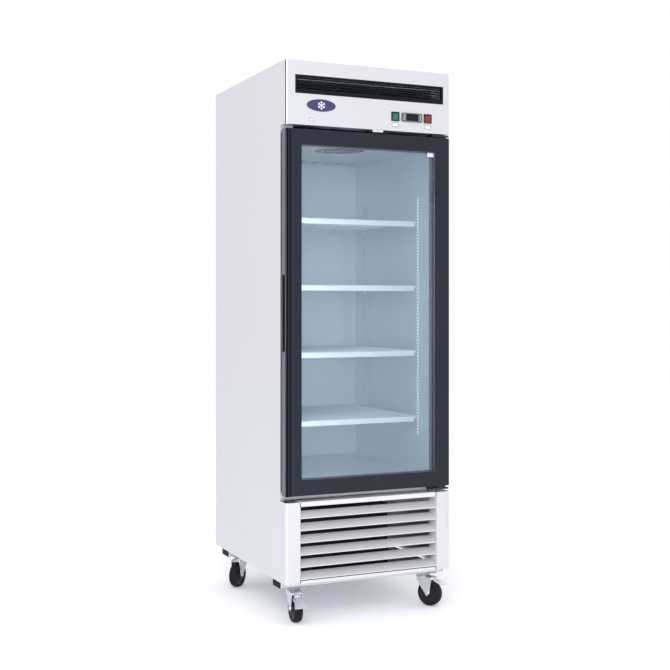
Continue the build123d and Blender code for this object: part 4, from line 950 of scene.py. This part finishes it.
class FRIDGE_OT_cabinet(bpy.types.Operator):
    """Finish the cabinet's sheets, base tubes, caps and hinges"""

    bl_idname = "fridge.cabinet"
    bl_label = "Cabinet sheets"

    def execute(self, context):
        sizes, colours = context.scene.fridge_sizes, context.scene.fridge_colours
        upright = brushed_sheet(
            "Upright brushed sheet", colours.skin,
            roughness=0.34, stretch=ALONG_Z, cloud=0.02, metal=0.7)
        level = brushed_sheet(
            "Level brushed sheet", colours.skin,
            roughness=0.32, stretch=ALONG_X, cloud=0.02, metal=0.7)
        blades = brushed_sheet(
            "Louvre sheet", [0.93 * part for part in colours.skin],
            roughness=0.5, stretch=ALONG_X, cloud=0.02, metal=0.1)
        tubes = brushed_sheet(
            "Base tube", [0.95 * part for part in colours.skin],
            roughness=0.38, stretch=ALONG_X, cloud=0.03, metal=0.7)
        dress(SIDE_SHEETS, upright)
        dress(FRONT_SHEETS, level)
        dress(("louvre_panel",), blades)
        dress(("crossmembers",), tubes)
        dress(ZINC_SHEETS, plated_steel(
            "Galvanised sheet", (0.66, 0.68, 0.71),
            roughness=0.42, spangle_size=14 * MM, spangle_depth=0.16))
        dress(PLATED, plated_steel(
            "Zinc plating", (0.74, 0.75, 0.78),
            roughness=0.32, spangle_size=3 * MM, spangle_depth=0.08))
        # painted shade: the swivel plates' zinc is darkened to stand for the shade they sit in under the
        # cabinet base
        dress(("caster_plates",), plated_steel(
            "Painted_shade_swivel plate", (0.34, 0.35, 0.38),
            roughness=0.42, spangle_size=3 * MM, spangle_depth=0.08))
        dress(("hinge_plates",), moulded(
            "Hinge paint", (0.012, 0.012, 0.018),
            roughness=0.4, specular=0.4, grain_size=0.8 * MM, grain_depth=0.03 * MM))
        dress(("end_caps_and_gland",), moulded(
            "Cap plastic", (0.006, 0.006, 0.010),
            roughness=0.6, specular=0.12, grain_size=0.4 * MM, grain_depth=0.05 * MM))
        round_edges(SIDE_SHEETS + FRONT_SHEETS + ("louvre_panel",), sizes.edge_round)
        round_edges(("crossmembers", "end_caps_and_gland", "hinge_plates"), sizes.edge_round)
        return {"FINISHED"}


class FRIDGE_OT_door(bpy.types.Operator):
    """Finish the door's frame, finger pull, glass and spacer"""

    bl_idname = "fridge.door"
    bl_label = "Door"

    BORDER_DEEP = 2 * MM
    # painted groove shade stripes, near-black painted shade that stands for deep grooves: distance of the
    # middle from the door's left edge, width
    PAINTED_GROOVE_SHADES = ((6.8 * MM, 3.2 * MM), (18 * MM, 2.5 * MM))

    def execute(self, context):
        sizes, colours = context.scene.fridge_sizes, context.scene.fridge_colours
        front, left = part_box("door_frame")[0].y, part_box("door_frame")[0].x
        painted_groove_shades = [(left + inset, wide) for inset, wide in self.PAINTED_GROOVE_SHADES]
        split = front + self.BORDER_DEEP
        border = door_moulding("Door moulding", colours.border, colours.door_side, split, painted_groove_shades)
        dress(("door_frame",), border)
        dress(("handle_grip",), moulded(
            "Finger pull", (0.006, 0.006, 0.010),
            roughness=0.45, specular=0.3, grain_size=0.5 * MM, grain_depth=0.04 * MM))
        dress(("hinge_bushes",), moulded(
            "Hinge bush", (0.05, 0.05, 0.05),
            roughness=0.5, specular=0.4, grain_size=0.5 * MM, grain_depth=0.03 * MM))
        dress(("door_glass",), coated_glass("Door glass", colours.glass, 1.50, 0.03))
        dress(("glass_spacer",), moulded(
            "Glass spacer", (0.014, 0.022, 0.024),
            roughness=0.45, specular=0.3, grain_size=0.5 * MM, grain_depth=0.01 * MM))
        round_edges(("door_frame", "handle_grip"), sizes.edge_round)
        return {"FINISHED"}


class FRIDGE_OT_gasket(bpy.types.Operator):
    """Build the door's bellows gasket"""

    bl_idname = "fridge.gasket"
    bl_label = "Door gasket"

    # half of the section: distance from the outer edge, depth from the door, in millimetres
    SECTION = (
        (1.0, 0.0), (1.0, 2.5), (4.5, 3.2), (6.0, 5.0), (4.2, 7.0), (5.6, 9.0),
        (3.5, 11.0), (1.5, 12.4), (0.8, 14.5), (1.6, 17.4), (3.0, 18.0),
    )
    WIDTH = 22 * MM

    def execute(self, context):
        low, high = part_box("door_gasket")
        half = np.array(self.SECTION) * MM
        half[:, 1] *= (high.y - low.y) / half[-1, 1]
        other = half[::-1] * (-1, 1) + (self.WIDTH, 0)
        section = np.concatenate([half, other])
        inset, depth = section[:, 0][:, None], section[:, 1][:, None]
        x = np.where([True, False, False, True], high.x - inset, low.x + inset)
        z = np.where([True, True, False, False], high.z - inset, low.z + inset)
        points = np.stack([x, np.broadcast_to(low.y + depth, x.shape), z], -1)
        faces = wall_faces(len(section), 4, True)[:, ::-1].tolist()
        piece = mesh_piece("door_gasket_bellows", [(points.reshape(-1, 3), faces)], 50)
        piece.data.materials.append(moulded(
            "Gasket", (0.012, 0.012, 0.014),
            roughness=0.5, specular=0.4, grain_size=1.2 * MM, grain_depth=0.06 * MM))
        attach(piece, "door")
        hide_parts("door_gasket")
        return {"FINISHED"}


class FRIDGE_OT_controls(bpy.types.Operator):
    """Finish the header's vent, badge, switches and controller"""

    bl_idname = "fridge.controls"
    bl_label = "Header fittings"

    def execute(self, context):
        colours = context.scene.fridge_colours
        relief_depth = 0.3 * MM
        face_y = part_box("badge")[0].y + relief_depth
        dress(("header_grille",), moulded(
            "Vent plastic", (0.006, 0.006, 0.013),
            roughness=0.6, specular=0.10, grain_size=0.6 * MM, grain_depth=0.005 * MM))
        dress(("badge",), two_tone_badge("Badge enamel", colours.badge, (0.80, 0.82, 0.90), face_y))
        dress(("switch_bezels",), moulded(
            "Switch bezel", (0.012, 0.013, 0.018),
            roughness=0.35, specular=0.4, grain_size=0.4 * MM, grain_depth=0.02 * MM))
        dress(("controller_body",), moulded(
            "Controller case", (0.10, 0.105, 0.12),
            roughness=0.5, specular=0.25, grain_size=0.4 * MM, grain_depth=0.03 * MM))
        dress(("controller_display",), dark_display("Display window", (0.006, 0.008, 0.014), 2 * MM))
        dress(BUTTONS, moulded(
            "Rubber key", (0.33, 0.34, 0.38),
            roughness=0.55, specular=0.3, grain_size=0.3 * MM, grain_depth=0.03 * MM))
        dress(("lighting_rocker",), moulded(
            "Green rocker", colours.green,
            roughness=0.22, specular=0.5, grain_size=0.5 * MM, grain_depth=0.005 * MM))
        dress(("power_rocker",), moulded(
            "Red rocker", colours.red,
            roughness=0.22, specular=0.5, grain_size=0.5 * MM, grain_depth=0.005 * MM))
        round_edges(("header_grille", "switch_bezels", "controller_body"), 0.35 * MM)
        round_edges(("lighting_rocker", "power_rocker"), 0.6 * MM, 3)
        return {"FINISHED"}


class FRIDGE_OT_labels(bpy.types.Operator):
    """Build the blank labels under the switches, on the header and on the glass"""

    bl_idname = "fridge.labels"
    bl_label = "Blank labels"

    # half width, half height and corner radius of each edge plate and of the film on it
    SWITCH_LABEL = ((14.5 * MM, 8.5 * MM, 2 * MM), (12 * MM, 6 * MM, 1.5 * MM))
    TAG = ((9 * MM, 6 * MM, 1.5 * MM), (6.8 * MM, 3.8 * MM, 1 * MM))
    GLASS_LABEL = (15 * MM, 8 * MM, 1 * MM)
    BELOW_SWITCH = 14 * MM
    TAG_FROM_BADGE = (20 * MM, 32 * MM)
    GLASS_INSET = (21.5 * MM, 18.5 * MM)

    def execute(self, context):
        thick = context.scene.fridge_sizes.label_thick
        edge = moulded(
            "Label edge", (0.20, 0.20, 0.23),
            roughness=0.4, specular=0.4, grain_size=1 * MM, grain_depth=0.01 * MM)
        paper = moulded(
            "Label film", (0.74, 0.74, 0.78),
            roughness=0.35, specular=0.5, grain_size=1 * MM, grain_depth=0.01 * MM)
        header_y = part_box("header_panel")[0].y
        bezels_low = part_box("switch_bezels")[0].z
        places = []
        for rocker in ("lighting_rocker", "power_rocker"):
            low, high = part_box(rocker)
            centre = ((low.x + high.x) / 2, header_y, bezels_low - self.BELOW_SWITCH)
            places.append((centre, self.SWITCH_LABEL))
        badge_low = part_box("badge")[0]
        across, down = self.TAG_FROM_BADGE
        places.append(((badge_low.x + across, header_y, badge_low.z - down), self.TAG))
        plates = []
        for centre, (rim, film) in places:
            plates += [plate(centre, *rim, thick / 2), plate(centre, *film, thick)]
        slots = np.repeat([number % 2 for number in range(len(plates))], len(plates[0][1]))
        piece = mesh_piece("header_labels", plates, 40, slots)
        piece.data.materials.append(edge)
        piece.data.materials.append(paper)
        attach(piece, "cabinet")
        glass_low, glass_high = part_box("door_glass")
        corner = (glass_high.x - self.GLASS_INSET[0], glass_low.y, glass_high.z - self.GLASS_INSET[1])
        sticker = mesh_piece("glass_label", [plate(corner, *self.GLASS_LABEL, thick)], 40)
        sticker.data.materials.append(paper)
        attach(sticker, "door")
        return {"FINISHED"}


class FRIDGE_OT_storage_box(bpy.types.Operator):
    """Finish the lining, insulation, shelf standards and light of the storage box"""

    bl_idname = "fridge.storage_box"
    bl_label = "Storage box"

    SLOT_PITCH = 12.7 * MM
    SLOT_HIGH = 3 * MM

    def execute(self, context):
        colours = context.scene.fridge_colours
        dress(("interior_liner", "evaporator_cover"), brushed_sheet(
            "Box lining", colours.lining,
            roughness=0.42, stretch=ALONG_Z, cloud=0.03, metal=0.5))
        dress(("insulation_panels",), rigid_foam("Insulation foam", (0.80, 0.72, 0.50)))
        dress(("shelf_standards",), slotted_standard(
            "Shelf standard", (0.62, 0.67, 0.70), self.SLOT_PITCH, self.SLOT_HIGH))
        dress(("light_housing",), brushed_sheet(
            "Light channel", (0.78, 0.80, 0.82),
            roughness=0.35, stretch=ALONG_Z, cloud=0.02, metal=1.0))
        dress(("light_lens",), light_strip("Light lens", (0.86, 0.94, 1.0), colours.light, 16 * MM))
        return {"FINISHED"}


class FRIDGE_OT_shelves(bpy.types.Operator):
    """Build the four coated wire shelves"""

    bl_idname = "fridge.shelves"
    bl_label = "Wire shelves"

    SUNK = 0.5 * MM
    CROSS_BARS = (-0.5, 0, 0.5)
    CROSS_THINNER = 0.85
    LIP_CORNER = 1.5 * MM
    SIDE_ROOM = 2 * MM
    END_ROOM = 1 * MM

    def execute(self, context):
        sizes, colours = context.scene.fridge_sizes, context.scene.fridge_colours
        coating = moulded(
            "Shelf coating", colours.shelf,
            roughness=0.38, specular=0.5, grain_size=0.8 * MM, grain_depth=0.02 * MM)
        for name in SHELVES:
            piece = mesh_piece(f"{name}_wires", self.bars(name, sizes), 60)
            piece.data.materials.append(coating)
            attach(piece, name)
            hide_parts(name)
        return {"FINISHED"}

    def bars(self, name, sizes):
        """Every bar of one shelf: the rim is a closed rounded rectangle, the cross bars and wires
        are straight, and the front lip is an upright strip with round corners."""
        low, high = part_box(name)
        rim, wire = sizes.rim_radius, sizes.wire_radius
        deck_z = high.z - wire
        rim_z = deck_z - wire - rim + self.SUNK
        middle_x, middle_y = (low.x + high.x) / 2, (low.y + high.y) / 2
        half_x, half_y = (high.x - low.x) / 2 - rim, (high.y - low.y) / 2 - rim
        outline = rounded_outline(half_x, half_y, sizes.rim_corner, 7)
        loop = np.column_stack([outline + (middle_x, middle_y), np.full(len(outline), rim_z)])
        shapes = [bar_along(loop, (0, 0, 1), rim, 12, closed=True)]
        for share in self.CROSS_BARS:
            ends = np.linspace((middle_x - half_x, middle_y + share * half_y, rim_z),
                               (middle_x + half_x, middle_y + share * half_y, rim_z), 2)
            shapes.append(bar_along(ends, (0, 0, 1), self.CROSS_THINNER * rim, 10))
        lip_at = (middle_x, low.y + sizes.lip_thick, (low.z + rim_z + rim) / 2)
        lip_high = (rim_z + rim - low.z) / 2
        shapes.append(plate(lip_at, half_x - 3 * rim, lip_high, self.LIP_CORNER, sizes.lip_thick))
        span = (high.x - low.x) / 2 - 2 * rim - self.SIDE_ROOM
        for x in np.linspace(middle_x - span, middle_x + span, sizes.wire_count):
            ends = np.linspace((x, low.y + self.END_ROOM, deck_z), (x, high.y - self.END_ROOM, deck_z), 2)
            shapes.append(bar_along(ends, (0, 0, 1), wire, 8))
        return shapes


class FRIDGE_OT_machinery(bpy.types.Operator):
    """Finish the coils, fans, motors, compressor, pan and pipes"""

    bl_idname = "fridge.machinery"
    bl_label = "Refrigeration"

    def execute(self, context):
        dress(("evaporator_coil",), brushed_sheet(
            "Evaporator fins", (0.78, 0.80, 0.82),
            roughness=0.36, stretch=ALONG_Z, cloud=0.05, metal=1.0))
        dress(("condenser_coil",), moulded(
            "Condenser paint", (0.030, 0.030, 0.034),
            roughness=0.42, specular=0.5, grain_size=0.8 * MM, grain_depth=0.03 * MM))
        dress(("fan_motors",), moulded(
            "Motor paint", (0.04, 0.04, 0.045),
            roughness=0.48, specular=0.5, grain_size=0.8 * MM, grain_depth=0.05 * MM))
        dress(("compressor",), moulded(
            "Compressor paint", (0.014, 0.014, 0.016),
            roughness=0.22, specular=0.6, grain_size=6 * MM, grain_depth=0.05 * MM))
        dress(("condensate_pan",), moulded(
            "Pan plastic", (0.06, 0.06, 0.065),
            roughness=0.50, specular=0.4, grain_size=1 * MM, grain_depth=0.05 * MM))
        dress(("refrigerant_pipes",), plated_steel(
            "Copper tube", (0.80, 0.42, 0.27),
            roughness=0.32, spangle_size=9 * MM, spangle_depth=0.20))
        fans = moulded(
            "Fan plastic", (0.030, 0.030, 0.033),
            roughness=0.45, specular=0.4, grain_size=0.7 * MM, grain_depth=0.03 * MM)
        dress(("evaporator_fan", "condenser_fan"), fans)
        return {"FINISHED"}


class FRIDGE_OT_caster_frames(bpy.types.Operator):
    """Finish the caster forks and brake pedals"""

    bl_idname = "fridge.caster_frames"
    bl_label = "Caster forks"

    def execute(self, context):
        forks = tuple(f"caster_fork_{corner}" for corner in CORNERS)
        pedals = tuple(f"brake_pedal_{corner}" for corner in CORNERS[:2])
        dress(forks, plated_steel(
            "Pressed fork", (0.70, 0.72, 0.76),
            roughness=0.34, spangle_size=4 * MM, spangle_depth=0.10))
        dress(pedals, plated_steel(
            "Brake pedal", (0.86, 0.87, 0.92),
            roughness=0.36, spangle_size=4 * MM, spangle_depth=0.05))
        round_edges(forks, 0.8 * MM)
        round_edges(pedals, 0.8 * MM)
        return {"FINISHED"}


class FRIDGE_OT_wheels(bpy.types.Operator):
    """Build the four caster wheels"""

    bl_idname = "fridge.wheels"
    bl_label = "Caster wheels"

    # half of the section, in millimetres: radius, distance from the middle plane
    TYRE = (
        (50.0, 0.0), (49.95, 4.0), (49.7, 8.0), (49.0, 11.2), (47.6, 13.8),
        (45.4, 15.4), (42.6, 15.9), (40.0, 15.7), (38.6, 14.8), (38.0, 13.4),
    )
    HUB = (
        (36.4, 12.6), (33.0, 11.4), (29.0, 10.8), (24.0, 10.8), (19.6, 11.6), (17.4, 13.2),
        (16.6, 15.2), (15.6, 15.9), (9.0, 15.9), (8.0, 15.2), (5.6, 15.2), (5.1, 14.8), (5.1, 0.0),
    )
    TURNS = 72
    RIBS = 5
    RIB_POWER = 8
    RIB_HEIGHT = 1.6 * MM
    # the ribs fade in outwards from the first radius and fade out before the second
    RIB_FROM, RIB_FADE_IN = 17 * MM, 3 * MM
    RIB_TO, RIB_FADE_OUT = 35 * MM, 2 * MM

    def execute(self, context):
        colours = context.scene.fridge_colours
        tyre = moulded(
            "Tyre rubber", colours.tyre,
            roughness=0.6, specular=0.18, grain_size=1.5 * MM, grain_depth=0.06 * MM)
        hub = moulded(
            "Hub plastic", [0.75 * part for part in colours.tyre],
            roughness=0.4, specular=0.3, grain_size=0.7 * MM, grain_depth=0.03 * MM)
        half = np.array(self.TYRE + self.HUB)
        section = np.concatenate([half, half[-2:0:-1] * (1, -1)]) * MM
        on_tyre = section[:, 0] >= self.TYRE[-1][0] * MM - 1e-6
        for corner in CORNERS:
            spin = JOINTS[f"wheel_spin_{corner}"]
            points, faces = self.turned(section, Vector(spin["pos_m"]), Vector(spin["axis"]))
            slots = np.repeat(np.where(on_tyre & np.roll(on_tyre, -1), 0, 1), self.TURNS)
            piece = mesh_piece(f"wheel_{corner}", [(points, faces)], 35, slots)
            piece.data.materials.append(tyre)
            piece.data.materials.append(hub)
            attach(piece, f"wheel_{corner}")
            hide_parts(f"caster_wheel_{corner}")
        return {"FINISHED"}

    def turned(self, section, centre, axle):
        """Surface of revolution: centre, plus radius times (cosine up, sine forwards), plus the
        distance from the middle plane along the axle. Between the rim and the boss that distance
        grows by a rib wave, the eighth power of the cosine of half the rib count times the angle."""
        axle = np.array(axle.normalized())
        up = np.array((0.0, 0.0, 1.0))
        forward = np.cross(axle, up)
        angle = np.arange(self.TURNS) * FULL_TURN / self.TURNS
        radius, out = section[:, 0][:, None], section[:, 1][:, None]
        fade_in = np.clip((radius - self.RIB_FROM) / self.RIB_FADE_IN, 0, 1)
        fade_out = np.clip((self.RIB_TO - radius) / self.RIB_FADE_OUT, 0, 1)
        web = fade_in * fade_out
        rib = np.cos(self.RIBS * angle / 2)[None, :] ** self.RIB_POWER * self.RIB_HEIGHT
        across = out + np.sign(out) * web * rib
        swing = np.cos(angle)[None, :, None] * up + np.sin(angle)[None, :, None] * forward
        points = np.array(centre) + radius[..., None] * swing + across[..., None] * axle
        faces = wall_faces(len(section), self.TURNS, True)
        return points.reshape(-1, 3), faces.tolist()


class FRIDGE_OT_studio(bpy.types.Operator):
    """Build the floor, the soft light and the camera"""

    bl_idname = "fridge.studio"
    bl_label = "Studio"

    FLOOR_HALF = 9.0
    CAMERA_AT = (-1.900, -4.292, 1.1795)
    CAMERA_TURN = (90.0, 0.0, -24.27)
    CAMERA_LENS = 61.79
    CAMERA_SHIFT = -0.046
    # soft boxes: name, place, side length, power
    SOFT_BOXES = (
        ("key_light", (-2.6, -4.6, 3.6), 2.6, 90.0),
        ("fill_light", (-1.9, -4.6, 1.5), 1.6, 70.0),
    )

    def execute(self, context):
        scene = context.scene
        half = self.FLOOR_HALF
        corners = np.array([(-half, -half, 0), (half, -half, 0), (half, half, 0), (-half, half, 0)], float)
        floor = mesh_piece("studio_floor", [(corners, [[0, 1, 2, 3]])], 30)
        floor.data.materials.append(studio_floor("Studio floor", (0.94, 0.94, 0.94), (0.07, 0.075, 0.10)))
        world = bpy.data.worlds.new("Studio surround")
        world.use_nodes = True
        world.node_tree.nodes.clear()
        surround = world.node_tree.nodes.new("ShaderNodeBackground")
        surround.label = "Even white surround"
        surround.inputs["Color"].default_value = (1.0, 1.0, 1.0, 1)
        surround.inputs["Strength"].default_value = 1.0
        world_out = world.node_tree.nodes.new("ShaderNodeOutputWorld")
        world_out.label = "Surround"
        world_out.location = (COLUMN, 0)
        world.node_tree.links.new(surround.outputs["Background"], world_out.inputs["Surface"])
        scene.world = world
        for name, place, size, power in self.SOFT_BOXES:
            self.soft_box(name, place, size, power)
        camera = bpy.data.objects.new("camera", bpy.data.cameras.new("camera"))
        scene.collection.objects.link(camera)
        camera.location = self.CAMERA_AT
        camera.rotation_euler = [radians(turn) for turn in self.CAMERA_TURN]
        camera.data.lens = self.CAMERA_LENS
        camera.data.shift_y = self.CAMERA_SHIFT
        camera.data.dof.use_dof = False
        scene.camera = camera
        scene.view_settings.view_transform = "Standard"
        return {"FINISHED"}

    def soft_box(self, name, place, size, power):
        """Square soft box that looks at the middle of the cabinet."""
        box = bpy.data.lights.new(name, "AREA")
        box.shape = "SQUARE"
        box.size = size
        box.energy = power
        lamp = bpy.data.objects.new(name, box)
        bpy.context.scene.collection.objects.link(lamp)
        lamp.location = place
        middle = (CAD_BOX[0] + CAD_BOX[1]) / 2
        lamp.rotation_euler = (middle - Vector(place)).to_track_quat("-Z", "Y").to_euler()


BUILDERS = (
    FRIDGE_OT_cabinet, FRIDGE_OT_door, FRIDGE_OT_gasket, FRIDGE_OT_controls, FRIDGE_OT_labels,
    FRIDGE_OT_storage_box, FRIDGE_OT_shelves, FRIDGE_OT_machinery, FRIDGE_OT_caster_frames,
    FRIDGE_OT_wheels, FRIDGE_OT_studio,
)


class FRIDGE_PT_builders(bpy.types.Panel):
    """Lists the settings and the builders"""

    bl_label = "Reach-in Refrigerator"
    bl_idname = "FRIDGE_PT_builders"
    bl_space_type = "VIEW_3D"
    bl_region_type = "UI"
    bl_category = "Fridge"

    def draw(self, context):
        for group in (context.scene.fridge_sizes, context.scene.fridge_colours):
            box = self.layout.box()
            for setting in group.bl_rna.properties:
                if setting.identifier not in ("rna_type", "name"):
                    box.prop(group, setting.identifier)
        for builder in BUILDERS:
            self.layout.operator(builder.bl_idname)


CLASSES = (FridgeSizes, FridgeColours, *BUILDERS, FRIDGE_PT_builders)


def register():
    for part in CLASSES:
        bpy.utils.register_class(part)
    bpy.types.Scene.fridge_sizes = PointerProperty(type=FridgeSizes)
    bpy.types.Scene.fridge_colours = PointerProperty(type=FridgeColours)


def unregister():
    del bpy.types.Scene.fridge_colours
    del bpy.types.Scene.fridge_sizes
    for part in reversed(CLASSES):
        bpy.utils.unregister_class(part)


def main():
    register()
    for builder in BUILDERS:
        group, action = builder.bl_idname.split(".")
        getattr(getattr(bpy.ops, group), action)()


if __name__ == "__main__":
    main()
